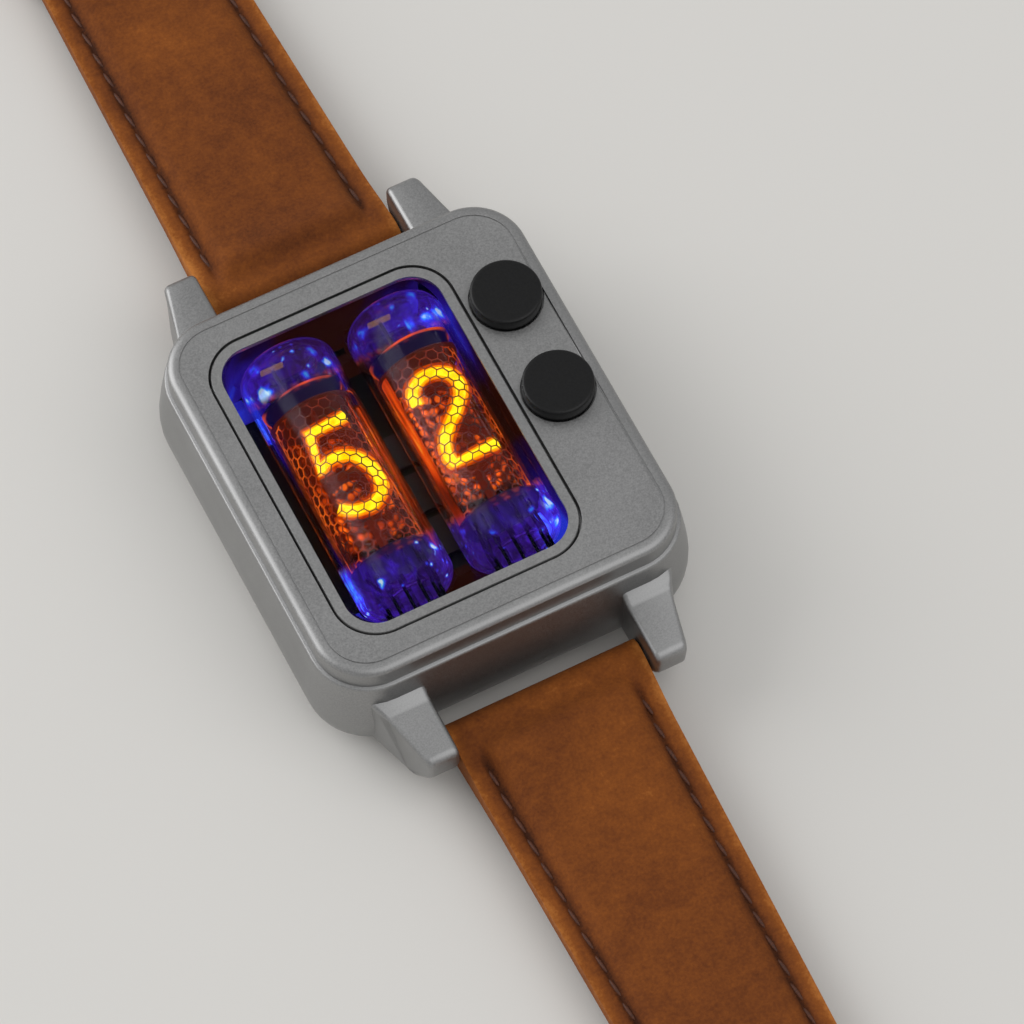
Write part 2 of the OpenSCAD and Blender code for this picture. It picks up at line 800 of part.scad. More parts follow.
// Flat leather between two places on the strap, as side view cut by plan view
module strap_slab(s0, s1) {
    t = strap_t/2;
    intersection() {
        rotate([90, 0, 90]) linear_extrude(40, center = true) polygon([
            [s0, -(s0 < 1 ? nose_r : t)], [max(s0, 14), -t], [s1, -t], [s1, t],
            [max(s0, 9), t], [s0, s0 < 1 ? nose_r : t]
        ]);
        translate([0, 0, -10]) linear_extrude(20) polygon([
            [-strap_width(s0)/2, s0], [strap_width(s0)/2, s0],
            [strap_width(s1)/2, s1], [-strap_width(s1)/2, s1]
        ]);
    }
}

module strap_inner() {
    difference() {
        union() {
            strap_slab(0, flex_s - 0.05);
            x_cylinder(nose_r, -strap_w/2, strap_w/2);
            padding([2.6, 9, 20, flex_s - 0.06]);
        }
        x_cylinder(bar_r + play, -strap_w, strap_w);
    }
}

module strap_short_inner() {
    color("peru") at_strap(1) strap_inner();
}

module strap_long_inner() {
    color("peru") at_strap(-1) strap_inner();
}

module strap_short_outer() {
    end_r = 1.5;
    color("peru") at_strap(1) difference() {
        union() {
            strap_slab(flex_s + 0.05, short_l);
            translate([0, short_l, 0]) x_cylinder(end_r, -strap_end_w/2, strap_end_w/2);
            padding([flex_s + 0.06, short_l - 20, short_l - 10]);
        }
        translate([0, short_l, 0]) x_cylinder(buckle_pin_r + play, -20, 20);
        block(-1.9, 1.9, short_l - 7, short_l + 3, -5, 5);
    }
}

module strap_long_outer() {
    w = strap_end_w/2;
    color("peru") at_strap(-1) difference() {
        union() {
            strap_slab(flex_s + 0.05, short_l);
            translate([0, 0, -strap_t/2]) linear_extrude(strap_t) polygon([
                [-w, short_l - 0.5], [w, short_l - 0.5], [w, long_l - 13], [0.94*w, long_l - 9],
                [0.74*w, long_l - 4.5], [0.42*w, long_l - 1.2], [0.14*w, long_l], [-0.14*w, long_l],
                [-0.42*w, long_l - 1.2], [-0.74*w, long_l - 4.5], [-0.94*w, long_l - 9],
                [-w, long_l - 13]
            ]);
            padding([flex_s + 0.06, short_l, long_l - 16]);
        }
        for (i = [0:hole_count - 1]) translate([0, hole_first + i*hole_pitch, -5])
            cylinder(r = 1, h = 12);
    }
}

// Leather loop round the strap, with room for the other half on top
module keeper(s, inner_w) {
    low = -strap_t/2 - keeper_gap;
    high = strap_t/2 + pad_height(s) + strap_t + 0.5;
    translate([0, s, 0]) rotate([90, 0, 0]) linear_extrude(keeper_w, center = true)
        translate([0, (low + high)/2]) difference() {
            rounded(inner_w + 2*keeper_t, high - low + 2*keeper_t, 1.6);
            rounded(inner_w, high - low, 0.3);
        }
}

module keeper_fixed() {
    color("sienna") at_strap(1)
        keeper(keeper_fixed_s, strap_width(keeper_fixed_s - keeper_w/2) + 5*keeper_gap);
}

module keeper_sliding() {
    far = keeper_slide_s - keeper_travel - keeper_w/2;
    color("sienna") at_strap(1) keeper(keeper_slide_s, strap_width(far) + 5*keeper_gap);
}

// One half of a spring bar: the barrel stays in the strap, the tips reach into the lugs
module barrel() {
    difference() {
        x_cylinder(bar_r, -bar_half, bar_half);
        for (s = [0, 1]) mirror([s, 0, 0]) x_cylinder(tip_pin_r + pin_fit, bar_half - 5, bar_half + 1);
    }
}

module bar_tip() {
    collar = lug_in - 0.05 - tip_collar_t;
    x_cylinder(tip_pin_r, bar_half - 2.4, collar + 0.1);
    x_cylinder(bar_r, collar, collar + tip_collar_t);
    x_cylinder(tip_pin_r, collar + 0.1, lug_in + tip_reach);
}

module at_bar(side) {
    translate([0, side*bar_y, bar_z]) children();
}

// ---------- buckle ----------

buckle_in = strap_end_w + 0.7;
buckle_arm = 2.1;
buckle_run = 12;
buckle_bar_r = 1.45;
pin_height = bar_z - short_l*sin(tilt_short);
buckle_tilt = asin((pin_height - buckle_bar_r - 0.02)/buckle_run);

module at_buckle() {
    translate([0, bar_y + short_l*cos(tilt_short), pin_height]) rotate([-buckle_tilt, 0, 0])
        children();
}

module buckle_pin() {
    reach = buckle_in/2 + buckle_arm - 0.3;
    color("silver") at_buckle() x_cylinder(buckle_pin_r, -reach, reach);
}

module buckle_frame() {
    half = buckle_in/2;
    color("lightgray") at_buckle() difference() {
        union() {
            for (s = [0, 1]) mirror([s, 0, 0]) {
                x_cylinder(1.55, half, half + buckle_arm);
                block(half, half + buckle_arm, 0, buckle_run, -1.2, 1.2);
            }
            translate([0, buckle_run, 0])
                x_cylinder(buckle_bar_r, -half - buckle_arm, half + buckle_arm);
        }
        x_cylinder(buckle_pin_r + pin_fit, -20, 20);
    }
}

module buckle_tongue() {
    half = 1.2;
    lift = buckle_bar_r + 0.08;
    color("gainsboro") at_buckle() difference() {
        union() {
            x_cylinder(1.45, -half, half);
            hull() {
                block(-half, half, 0.6, 1.2, 0.2, 1.35);
                block(-half, half, buckle_run - 2.4, buckle_run - 2, lift, lift + 1);
            }
            hull() {
                block(-half, half, buckle_run - 2.4, buckle_run - 2, lift, lift + 1);
                block(-half + 0.2, half - 0.2, buckle_run + 1.2, buckle_run + 1.3, lift, lift + 0.7);
            }
        }
        x_cylinder(buckle_pin_r + pin_fit, -20, 20);
    }
}

// ---------- nodes ----------

midcase();
bezel();
window_ring();
crystal();
crystal_gasket();
bezel_gasket();
case_back();
back_gasket();
case_screws();
charge_pins();
tube_cradle();
cradle_screws();
main_board();
controller_chip();
driver_chips();
boost_inductor();
hv_capacitor();
backlight_leds();
battery();
battery_pad();
battery_leads();
button_board();
board_link();
at_button(0) switch();  // switch_upper
at_button(1) switch();  // switch_lower
at_tube(-1) tube_glass();  // tube_glass_left
at_tube(1) tube_glass();  // tube_glass_right
at_tube(-1) anode_mesh();  // anode_mesh_left
at_tube(1) anode_mesh();  // anode_mesh_right
lit_digit_left();
lit_digit_right();
at_tube(-1) cathodes();  // cathodes_left
at_tube(1) cathodes();  // cathodes_right
at_tube(-1) stack_frame();  // stack_frame_left
at_tube(1) stack_frame();  // stack_frame_right
tube_leads();
getters();
at_button(0) button();  // button_upper
at_button(1) button();  // button_lower
at_button(0) seal();  // seal_upper
at_button(1) seal();  // seal_lower
at_button(0) clip();  // clip_upper
at_button(1) clip();  // clip_lower
at_button(0) plunger();  // plunger_upper
at_button(1) plunger();  // plunger_lower
color("silver") at_bar(1) barrel();  // bar_upper
color("silver") at_bar(-1) barrel();  // bar_lower
color("silver") at_bar(1) mirror([1, 0, 0]) bar_tip();  // bar_upper_tip_left
color("silver") at_bar(1) bar_tip();  // bar_upper_tip_right
color("silver") at_bar(-1) mirror([1, 0, 0]) bar_tip();  // bar_lower_tip_left
color("silver") at_bar(-1) bar_tip();  // bar_lower_tip_right
strap_short_inner();
strap_short_outer();
strap_long_inner();
strap_long_outer();
keeper_fixed();
keeper_sliding();
buckle_pin();
buckle_frame();
buckle_tongue();
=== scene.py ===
"""A wristwatch with two digit tubes behind a flat crystal, lying on its back with the strap stretched out."""

import math

import bmesh
import bpy
from mathutils import Matrix, Vector


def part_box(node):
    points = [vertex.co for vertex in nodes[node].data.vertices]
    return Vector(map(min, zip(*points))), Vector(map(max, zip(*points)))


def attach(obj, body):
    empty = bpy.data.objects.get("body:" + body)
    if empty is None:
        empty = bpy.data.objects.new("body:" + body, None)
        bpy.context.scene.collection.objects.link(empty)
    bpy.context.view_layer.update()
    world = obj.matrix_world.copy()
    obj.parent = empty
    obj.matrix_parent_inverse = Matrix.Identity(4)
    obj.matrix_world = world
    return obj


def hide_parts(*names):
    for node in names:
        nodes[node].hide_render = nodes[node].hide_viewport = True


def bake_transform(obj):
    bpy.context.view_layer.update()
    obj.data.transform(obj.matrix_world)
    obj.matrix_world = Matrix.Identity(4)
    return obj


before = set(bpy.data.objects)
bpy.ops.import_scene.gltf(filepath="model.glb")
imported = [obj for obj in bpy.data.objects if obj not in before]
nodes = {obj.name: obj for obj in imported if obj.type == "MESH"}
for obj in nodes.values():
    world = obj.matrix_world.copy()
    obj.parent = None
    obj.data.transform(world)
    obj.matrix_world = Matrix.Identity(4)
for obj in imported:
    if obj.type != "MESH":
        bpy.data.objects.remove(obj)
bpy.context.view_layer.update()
MM = 0.001


# ---- Camera ----
# A long lens looks down on the face from the lower left, at 63 degrees to the table.
# The turn and the place come from a fit to the edges of the bezel in the photograph.
sensor_mm, focal_px, picture_px = 36, 6490, 1024
lens = bpy.data.cameras.new("camera")
lens.sensor_width = sensor_mm
lens.lens = sensor_mm * focal_px / picture_px
lens.clip_end = 5
camera = bpy.data.objects.new("camera", lens)
bpy.context.scene.collection.objects.link(camera)
# the turn's length is its angle in radians, and the shift is how the top face lies before the lens
turn = Vector((2.604, -0.625, 0.140))
facing = Matrix.Rotation(turn.length, 3, turn)
image_axes = Matrix.Diagonal((1, -1, -1)) @ facing
top_face = Vector((0, 0, 17)) * MM
shift = Vector((-10.18, -8.52, 722.2)) * MM
eye = top_face - facing.transposed() @ shift
camera.matrix_world = Matrix.Translation(eye) @ image_axes.transposed().to_4x4()
bpy.context.scene.camera = camera


# ---- Floor, lamps and sky ----
# A plain pale table top with matt paint. A large soft lamp stands high on the left behind the
# watch and a weaker one on the right, under an even grey-white sky.
def paint(code):
    """A colour written as sRGB hex, as the linear values that the sockets take."""
    levels = [int(code[i:i + 2], 16) / 255 for i in (1, 3, 5)]
    return tuple(v / 12.92 if v <= 0.04045 else ((v + 0.055) / 1.055) ** 2.4 for v in levels) + (1,)


def add(tree, kind, sockets=None, stops=(), **settings):
    """Adds a node. An output given for a socket is linked, and any other value is set on it.
    A colour ramp takes its stops as pairs of a position and an sRGB hex code."""
    new = tree.nodes.new(kind)
    for name, value in settings.items():
        setattr(new, name, value)
    for _ in stops[2:]:
        new.color_ramp.elements.new(0.5)
    for i, (position, code) in enumerate(stops):
        new.color_ramp.elements[i].position = position
        new.color_ramp.elements[i].color = paint(code)
    for name, value in (sockets or {}).items():
        if isinstance(value, bpy.types.NodeSocket):
            tree.links.new(value, new.inputs[name])
        else:
            new.inputs[name].default_value = value
    return new


def material(name, **sockets):
    """A material with its Principled shader, whose sockets are given with _ for a space."""
    made = bpy.data.materials.new(name)
    made.use_nodes = True
    shader = made.node_tree.nodes["Principled BSDF"]
    for socket, value in sockets.items():
        shader.inputs[socket.replace("_", " ")].default_value = value
    return made, made.node_tree, shader


def place(name, shape, look, smooth=math.radians(35)):
    """Makes an object from a bmesh, with edges smoothed up to an angle."""
    mesh = bpy.data.meshes.new(name)
    shape.to_mesh(mesh)
    shape.free()
    made = bpy.data.objects.new(name, mesh)
    bpy.context.scene.collection.objects.link(made)
    made.data.materials.append(look)
    for face in mesh.polygons:
        face.use_smooth = True
    if smooth is not None:
        mesh.set_sharp_from_angle(angle=smooth)
    return made


# Matt paint gives an even pale ground with soft shadows.
table_paint = material("matt_table_paint", Base_Color=paint("#dcdad6"), Roughness=0.75)[0]
table_reach, table_z = 1.5, -0.02 * MM
table = bmesh.new()
bmesh.ops.create_grid(table, x_segments=1, y_segments=1, size=table_reach)
bmesh.ops.translate(table, vec=(0, 0, table_z), verts=table.verts)
floor = place("floor", table, table_paint)

lamp_w = 1.1
for spot, power in (((-0.75, 0.8, 0.62), 9.0), ((0.35, -0.5, 0.95), 3.5)):
    light = bpy.data.lights.new("soft_lamp", "AREA")
    light.size = lamp_w
    light.energy = power
    lamp = bpy.data.objects.new("soft_lamp", light)
    bpy.context.scene.collection.objects.link(lamp)
    lamp.location = spot
    lamp.rotation_euler = (-Vector(spot)).to_track_quat("-Z", "Y").to_euler()

sky = bpy.data.worlds.new("sky")
bpy.context.scene.world = sky
sky.use_nodes = True
sky.node_tree.nodes["Background"].inputs["Color"].default_value = paint("#e8e8e8")
sky.node_tree.nodes["Background"].inputs["Strength"].default_value = 0.62
bpy.context.scene.view_settings.view_transform = "Standard"


# ---- Case body and lugs ----
# Machined from one block of steel and blasted with fine beads: an even satin grey with a
# fine grain, smooth swelling sides under a thin ledge, and four lugs that grow out of the ends.
# The beads leave dents of about 0.1 mm, drawn at 0.2 mm so that they show, and a faint cloudiness
# over 9 mm. They break every reflection into a soft grey.
blasted_steel, tree, shader = material("bead_blasted_steel", Metallic=1.0, Roughness=0.42)
spot = add(tree, "ShaderNodeTexCoord").outputs["Object"]
grain = add(tree, "ShaderNodeTexNoise", {"Vector": spot, "Scale": 5200, "Detail": 2, "Roughness": 0.6})
cloud = add(tree, "ShaderNodeTexNoise", {"Vector": spot, "Scale": 110, "Detail": 2})
tone = add(tree, "ShaderNodeMath", {0: cloud.outputs["Fac"], 1: 0.35, 2: grain.outputs["Fac"]},
           operation="MULTIPLY_ADD")
tone = add(tree, "ShaderNodeMapRange", {"Value": tone.outputs[0], "From Min": 0.42, "From Max": 0.93})
tone = add(tree, "ShaderNodeValToRGB", {"Fac": tone.outputs[0]}, [
    (0, "#8f8f8f"), (0.5, "#9b9b9b"), (1, "#a7a7a7")])
tree.links.new(tone.outputs[0], shader.inputs["Base Color"])
rough = add(tree, "ShaderNodeMapRange", {"Value": grain.outputs["Fac"], "From Min": 0.3, "From Max": 0.7,
                                         "To Min": 0.36, "To Max": 0.52})
tree.links.new(rough.outputs[0], shader.inputs["Roughness"])
pits = add(tree, "ShaderNodeBump", {"Height": grain.outputs["Fac"], "Strength": 0.14, "Distance": 0.03 * MM})
tree.links.new(pits.outputs[0], shader.inputs["Normal"])


def rounded_plate(shape, width, length, radius, height, middle=(0, 0), steps=10):
    """Adds one flat face with round corners and returns it."""
    made = bmesh.ops.create_grid(shape, x_segments=1, y_segments=1, size=0.5)["verts"]
    bmesh.ops.scale(shape, vec=(width, length, 1), verts=made)
    bmesh.ops.translate(shape, vec=(middle[0], middle[1], height), verts=made)
    cut = bmesh.ops.bevel(shape, geom=made, offset=radius, offset_type="OFFSET", segments=steps,
                          profile=0.5, affect="VERTICES", material=-1)
    return cut["verts"][0].link_faces[0]


def climb(shape, face, steps):
    """Grows a wall from a face by (inset, rise) steps along its normal and returns the last face."""
    for inset, rise in steps:
        if inset:
            bmesh.ops.inset_region(shape, faces=[face], thickness=inset, depth=rise, use_boundary=True,
                                   use_even_offset=True)
        else:
            way = face.normal * rise
            moved = bmesh.ops.extrude_face_region(shape, geom=[face])["geom"]
            bmesh.ops.translate(shape, vec=way, verts=[v for v in moved if isinstance(v, bmesh.types.BMVert)])
            fresh = next(f for f in moved if isinstance(f, bmesh.types.BMFace))
            if face.is_valid:
                bmesh.ops.delete(shape, geom=[face], context="FACES_ONLY")
            face = fresh
    return face


bezel_low, bezel_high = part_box("bezel")
case_w, case_l, face_z = bezel_high[0] - bezel_low[0], bezel_high[1] - bezel_low[1], bezel_high[2]
flare = 1.4 * MM
corner = 6.3 * MM
wide_z = 6.5 * MM
body = bmesh.new()
top = rounded_plate(body, case_w + 2 * flare, case_l + 2 * flare, corner + flare, wide_z)
top.normal_update()
# upper half: a slow inward lean, a small round and the ledge, as (inset, rise) steps in mm
ledge_w, sole_w = 2.7 * MM, 1.0 * MM
lean = [(0.01, 0.5), (0.03, 0.5), (0.055, 0.5), (0.1, 0.9), (0.135, 1.1), (0.16, 1.1),
        (0.175, 1.0), (0.125, 0.9), (0.08, 0.55), (0.05, 0.25), (0.1, 0.15), (0.1, 0.05)]
top = climb(body, top, [(a * MM, b * MM) for a, b in lean])
top = climb(body, top, [(ledge_w, 0)])
rim_top = list(top.edges)
bmesh.ops.delete(body, geom=[top], context="FACES_ONLY")
# lower half: a wide round into the case back
start = rounded_plate(body, case_w + 2 * flare, case_l + 2 * flare, corner + flare, wide_z)
bmesh.ops.reverse_faces(body, faces=[start])
start.normal_update()
tuck = [(0.02, 0.9), (0.08, 1.0), (0.2, 1.0), (0.38, 0.8), (0.5, 0.55), (0.6, 0.33), (0.55, 0.12)]
base = climb(body, start, [(a * MM, b * MM) for a, b in tuck])
base = climb(body, base, [(sole_w, 0)])
rim_base = list(base.edges)
bmesh.ops.delete(body, geom=[base], context="FACES_ONLY")
bmesh.ops.bridge_loops(body, edges=rim_top + rim_base)
bmesh.ops.remove_doubles(body, verts=body.verts, dist=1e-6)
bmesh.ops.recalc_face_normals(body, faces=body.faces)
case_body = place("case_body", body, blasted_steel, math.radians(40))

low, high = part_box("bar_upper")
bar_y, bar_z = (low[1] + high[1]) / 2 / MM, (low[2] + high[2]) / 2 / MM
# in mm: a lug's inner face, width and far end, then where it widens into the case and by how much
lug_in, lug_w, lug_end = 12.15, 3.8, bar_y + 3.5
root_y, root_l, root_flare, splay = 27.4, 1.8, 0.4, 0.26
nose_round, edge_round = 1.1 * MM, 0.6 * MM
side = [(22.6, 2.7), (bar_y + 0.7, 3.1), (lug_end - 0.1, 6.6), (lug_end, 10.35),
        (27.0, 10.55), (26.3, 10.75), (25.7, 11.3), (22.6, 11.3)]
lugs = bmesh.new()
for sx in (1, -1):
    for sy in (1, -1):
        before = set(lugs.verts)
        ring = [lugs.verts.new((lug_in * MM, y * MM, z * MM)) for y, z in side]
        lugs.faces.new(ring)
        bmesh.ops.bevel(lugs, geom=ring[1:4], offset=nose_round, offset_type="OFFSET", segments=4,
                        profile=0.5, affect="VERTICES", material=-1)
        cheek = next(f for f in lugs.faces if not before.intersection(f.verts))
        grown = bmesh.ops.extrude_face_region(lugs, geom=[cheek])["geom"]
        outer = {v for v in grown if isinstance(v, bmesh.types.BMVert)}
        for v in outer:
            y = v.co.y / MM
            root = root_flare * min(1, max(0, (root_y - y) / root_l)) ** 2
            v.co.x = (lug_in + lug_w + splay * (lug_end - y) + root) * MM
        made = {v for v in lugs.verts if v not in before}
        rim = [e for e in lugs.edges
               if e.verts[0] in made and (e.verts[0] in outer) == (e.verts[1] in outer)]
        bmesh.ops.bevel(lugs, geom=rim, offset=edge_round, offset_type="OFFSET", segments=4, profile=0.5,
                        affect="EDGES", material=-1)
        made = [v for v in lugs.verts if v not in before]
        bmesh.ops.scale(lugs, vec=(sx, sy, 1), verts=made)
bmesh.ops.recalc_face_normals(lugs, faces=lugs.faces)
case_lugs = place("case_lugs", lugs, blasted_steel, math.radians(50))
for piece in (case_body, case_lugs):
    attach(piece, "case")
    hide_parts("midcase")


# ---- Bezel, window ring and case back ----
# Flat plates of the same blasted steel. The bezel has a convex edge, a fine turned line, two
# button wells and the window, where a separate ring holds the crystal. Their CAD meshes are
# copied to weld the corners, so that the round edges shade smoothly.
def welded_copy(node, look, degrees, carrier="case", ending="_smooth"):
    """A copy of a CAD node's mesh with its loose triangles joined, which takes the node's place."""
    shape = bmesh.new()
    shape.from_mesh(nodes[node].data)
    bmesh.ops.remove_doubles(shape, verts=shape.verts, dist=1e-6)
    bmesh.ops.dissolve_limit(shape, angle_limit=math.radians(0.5), verts=shape.verts, edges=shape.edges)
    made = place(node + ending, shape, look, math.radians(degrees))
    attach(made, carrier)
    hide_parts(node)
    return made


welded_copy("bezel", blasted_steel, 30)
welded_copy("window_ring", blasted_steel, 30)
# Painted shade: the case back's inner face is coloured near black and made non-metallic, standing in
# for the shade inside the case, so that nothing bright shows through the tubes.
inner_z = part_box("case_back")[1][2]
steel_with_painted_shade_inside = blasted_steel.copy()
steel_with_painted_shade_inside.name = "blasted_steel_with_painted_shade_inside"
tree = steel_with_painted_shade_inside.node_tree
shader = tree.nodes["Principled BSDF"]
inside = add(tree, "ShaderNodeSeparateXYZ", {"Vector": add(tree, "ShaderNodeTexCoord").outputs["Object"]})
inside = add(tree, "ShaderNodeMapRange", {"Value": inside.outputs["Z"], "From Min": inner_z - 0.2 * MM,
                                          "From Max": inner_z - 0.1 * MM}).outputs[0]
bare = add(tree, "ShaderNodeMath", {0: 1.0, 1: inside}, operation="SUBTRACT").outputs[0]
# above the inner face the steel's colour gives way to the near-black painted shade
tone = add(tree, "ShaderNodeMix", {"Factor": inside, 6: shader.inputs["Base Color"].links[0].from_socket,
                                   7: paint("#060404")}, data_type="RGBA")
tree.links.new(tone.outputs[2], shader.inputs["Base Color"])
tree.links.new(bare, shader.inputs["Metallic"])
tree.links.new(bare, shader.inputs["Specular IOR Level"])
welded_copy("case_back", steel_with_painted_shade_inside, 30)


# ---- Crystal ----
# A flat plate of clear mineral glass behind the ring's lip. Its anti-reflection coating is a dark
# specular tint, which keeps the digits clear of glare.
crystal_glass, tree, shader = material(
    "coated_mineral_crystal", Base_Color=paint("#f9fafc"), Roughness=0.0, IOR=1.45, Transmission_Weight=1.0,
    Specular_IOR_Level=0.05, Specular_Tint=paint("#2c2c34"))
nodes["crystal"].data.materials.clear()
nodes["crystal"].data.materials.append(crystal_glass)


# ---- Seals, clips, boards and screws ----
# What fills the case behind the tubes. Little of it shows, so its finishes are plain but real.
def finish_nodes(look, *names):
    """Gives CAD nodes a finish in place of their plain one."""
    for name in names:
        nodes[name].data.materials.clear()
        nodes[name].data.materials.append(look)


def grained(name, dark, light, grain_mm, depth_mm, **sockets):
    """A finish whose colour wanders between two values over a grain of a stated size."""
    made, tree, shader = material(name, **sockets)
    spot = add(tree, "ShaderNodeTexCoord").outputs["Object"]
    noise = add(tree, "ShaderNodeTexNoise", {"Vector": spot, "Scale": 1000 / grain_mm, "Detail": 3})
    tone = add(tree, "ShaderNodeMapRange", {"Value": noise.outputs["Fac"], "From Min": 0.3, "From Max": 0.7})
    tone = add(tree, "ShaderNodeValToRGB", {"Fac": tone.outputs[0]}, [(0, dark), (1, light)])
    tree.links.new(tone.outputs[0], shader.inputs["Base Color"])
    bump = add(tree, "ShaderNodeBump", {"Height": noise.outputs["Fac"], "Strength": 0.4,
                                        "Distance": depth_mm * MM})
    tree.links.new(bump.outputs[0], shader.inputs["Normal"])
    return made


# moulded rubber is dull and nearly black
seal_rubber = grained("moulded_seal_rubber", "#141414", "#1e1e1e", 0.4, 0.02, Roughness=0.6)
finish_nodes(seal_rubber, "crystal_gasket", "bezel_gasket", "back_gasket", "battery_pad", "seal_upper",
             "seal_lower")
# turned steel is bright, with faint tool marks
turned_steel = grained("turned_stainless_steel", "#a8a8aa", "#c4c4c6", 0.3, 0.01, Roughness=0.3,
                       Metallic=1.0)
finish_nodes(turned_steel, "case_screws", "cradle_screws", "clip_upper", "clip_lower", "bar_upper",
             "bar_lower", "bar_upper_tip_left", "bar_upper_tip_right", "bar_lower_tip_left",
             "bar_lower_tip_right")
# moulded nylon is black with a half gloss
black_nylon = grained("black_moulded_nylon", "#0b0909", "#15100e", 0.5, 0.02, Roughness=0.5)
finish_nodes(black_nylon, "controller_chip", "driver_chips", "board_link", "plunger_upper",
             "plunger_lower")
# the boards' lacquer is so dark a green that it hardly shows between the tubes
solder_mask = grained("dark_green_solder_mask", "#07120a", "#0c1b10", 1.5, 0.01, Roughness=0.5,
                      Specular_IOR_Level=0.2)
finish_nodes(solder_mask, "main_board", "button_board")
# gold plating is a glossy warm yellow
gilt = grained("gold_plated_brass", "#c79a43", "#dcb25a", 0.3, 0.01, Roughness=0.25, Metallic=1.0)
finish_nodes(gilt, "charge_pins")
# the cell's foil is silver, with shallow dents
foil = grained("laminated_cell_foil", "#b4b4b6", "#c8c8ca", 3.0, 0.05, Roughness=0.3, Metallic=1.0)
finish_nodes(foil, "battery")
# sintered ferrite is a charcoal stone
ferrite = grained("sintered_ferrite", "#1d1a1a", "#2a2625", 0.5, 0.02, Roughness=0.5)
finish_nodes(ferrite, "boost_inductor")
# moulded resin is a smooth tan block
capacitor_resin = grained("moulded_capacitor_resin", "#6e4420", "#80552c", 0.8, 0.01, Roughness=0.4)
finish_nodes(capacitor_resin, "hv_capacitor")
# the wires' soft sleeve is deep red
wire_sleeve = grained("red_wire_sleeve", "#7c130c", "#96190f", 0.8, 0.01, Roughness=0.45)
finish_nodes(wire_sleeve, "battery_leads")
# glass-filled plastic is a flat grey
switch_shell = grained("glass_filled_switch_shell", "#8b8b8d", "#a0a0a2", 0.5, 0.01, Roughness=0.5)
finish_nodes(switch_shell, "switch_upper", "switch_lower")


# ---- Tube cradle and blue lamps ----
# A black moulded frame holds both tubes. Blue lamps on the main board shine up through the
# ends of the glass, and the digits throw a faint orange light on the frame. Its matt nylon is
# lost in the dark, so this light is painted on it as a glow of its own.
cradle_nylon_painted_glow, tree, shader = material("black_cradle_nylon_painted_lamplight", Roughness=0.7, Specular_IOR_Level=0.12)
spot = add(tree, "ShaderNodeTexCoord").outputs["Object"]
grain = add(tree, "ShaderNodeTexNoise", {"Vector": spot, "Scale": 800, "Detail": 3})
tone = add(tree, "ShaderNodeValToRGB", {"Fac": grain.outputs["Fac"]}, [(0.3, "#060302"), (0.7, "#0e0604")])
tree.links.new(tone.outputs[0], shader.inputs["Base Color"])
# the frame is folded into one quarter, where a single distance gives all four lamps
lamps_mid = Vector((-2.5, 1.9, 0)) * MM
lamp_spot = Vector((13.7, 15.0, 6.0)) * MM
lamp_reach, lamp_core, wander = 11.5 * MM, 1.0 * MM, 9.0 * MM
lit = add(tree, "ShaderNodeVectorMath", {0: spot, 1: lamps_mid}, operation="SUBTRACT")
lit = add(tree, "ShaderNodeVectorMath", {0: lit.outputs[0]}, operation="ABSOLUTE")
lit = add(tree, "ShaderNodeVectorMath", {0: lit.outputs[0], 1: lamp_spot}, operation="DISTANCE")
streak = add(tree, "ShaderNodeTexNoise", {"Vector": spot, "Scale": 240, "Detail": 2})
streak = add(tree, "ShaderNodeMath", {0: streak.outputs["Fac"], 1: wander, 2: -wander / 2},
             operation="MULTIPLY_ADD")
lit = add(tree, "ShaderNodeMath", {0: lit.outputs["Value"], 1: streak.outputs[0]}, operation="ADD")
lit = add(tree, "ShaderNodeMapRange", {"Value": lit.outputs[0], "From Min": lamp_reach,
                                       "From Max": lamp_core})
# painted light: dull orange-red far from the lamps, through violet, to bright blue near them
lit = add(tree, "ShaderNodeValToRGB", {"Fac": lit.outputs[0]}, [
    (0, "#240803"), (0.3, "#180636"), (0.7, "#26128a"), (1, "#2a38e0")])
tree.links.new(lit.outputs[0], shader.inputs["Emission Color"])
shader.inputs["Emission Strength"].default_value = 0.7
finish_nodes(cradle_nylon_painted_glow, "tube_cradle")
# A lamp is a clear resin block that is brightest over its chip.
lamp_resin, tree, shader = material("lit_blue_lamp_resin", Base_Color=paint("#2d5bff"), Roughness=0.4)
spot = add(tree, "ShaderNodeTexCoord").outputs["Object"]
die = add(tree, "ShaderNodeTexNoise", {"Vector": spot, "Scale": 900, "Detail": 1})
die = add(tree, "ShaderNodeValToRGB", {"Fac": die.outputs["Fac"]}, [(0.35, "#1a22d8"), (0.7, "#4a78ff")])
tree.links.new(die.outputs[0], shader.inputs["Emission Color"])
shader.inputs["Emission Strength"].default_value = 1.5
finish_nodes(lamp_resin, "backlight_leds")


# ---- Tube glass ----
# Clear drawn glass, closed and rounded at both ends. The blue lamps' light that the ends scatter in
# streaks and sparks, most at the outer sides, and the neon's orange that the back wall behind the
# digits catches through the holes of the anode, are painted on the glass as a glow of its own. Its
# reflections are tinted dark, as in a dark room.
def tube_axis(name):
    """The x and z of a tube's axis and the radius of its glass."""
    low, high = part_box("tube_glass_" + name)
    return (low[0] + high[0]) / 2, (low[2] + high[2]) / 2, (high[0] - low[0]) / 2


left_x, tube_z, tube_r = tube_axis("left")
right_x = tube_axis("right")[0]
pair_mid, pair_half = (left_x + right_x) / 2, (right_x - left_x) / 2


def off_axis(tree, x):
    """How far x lies from the middle of the pair of tubes, and from the nearer tube's axis."""
    pair = add(tree, "ShaderNodeMath", {0: x, 1: pair_mid}, operation="SUBTRACT")
    pair = add(tree, "ShaderNodeMath", {0: pair.outputs[0]}, operation="ABSOLUTE").outputs[0]
    axis = add(tree, "ShaderNodeMath", {0: pair, 1: pair_half}, operation="SUBTRACT")
    return pair, add(tree, "ShaderNodeMath", {0: axis.outputs[0]}, operation="ABSOLUTE").outputs[0]


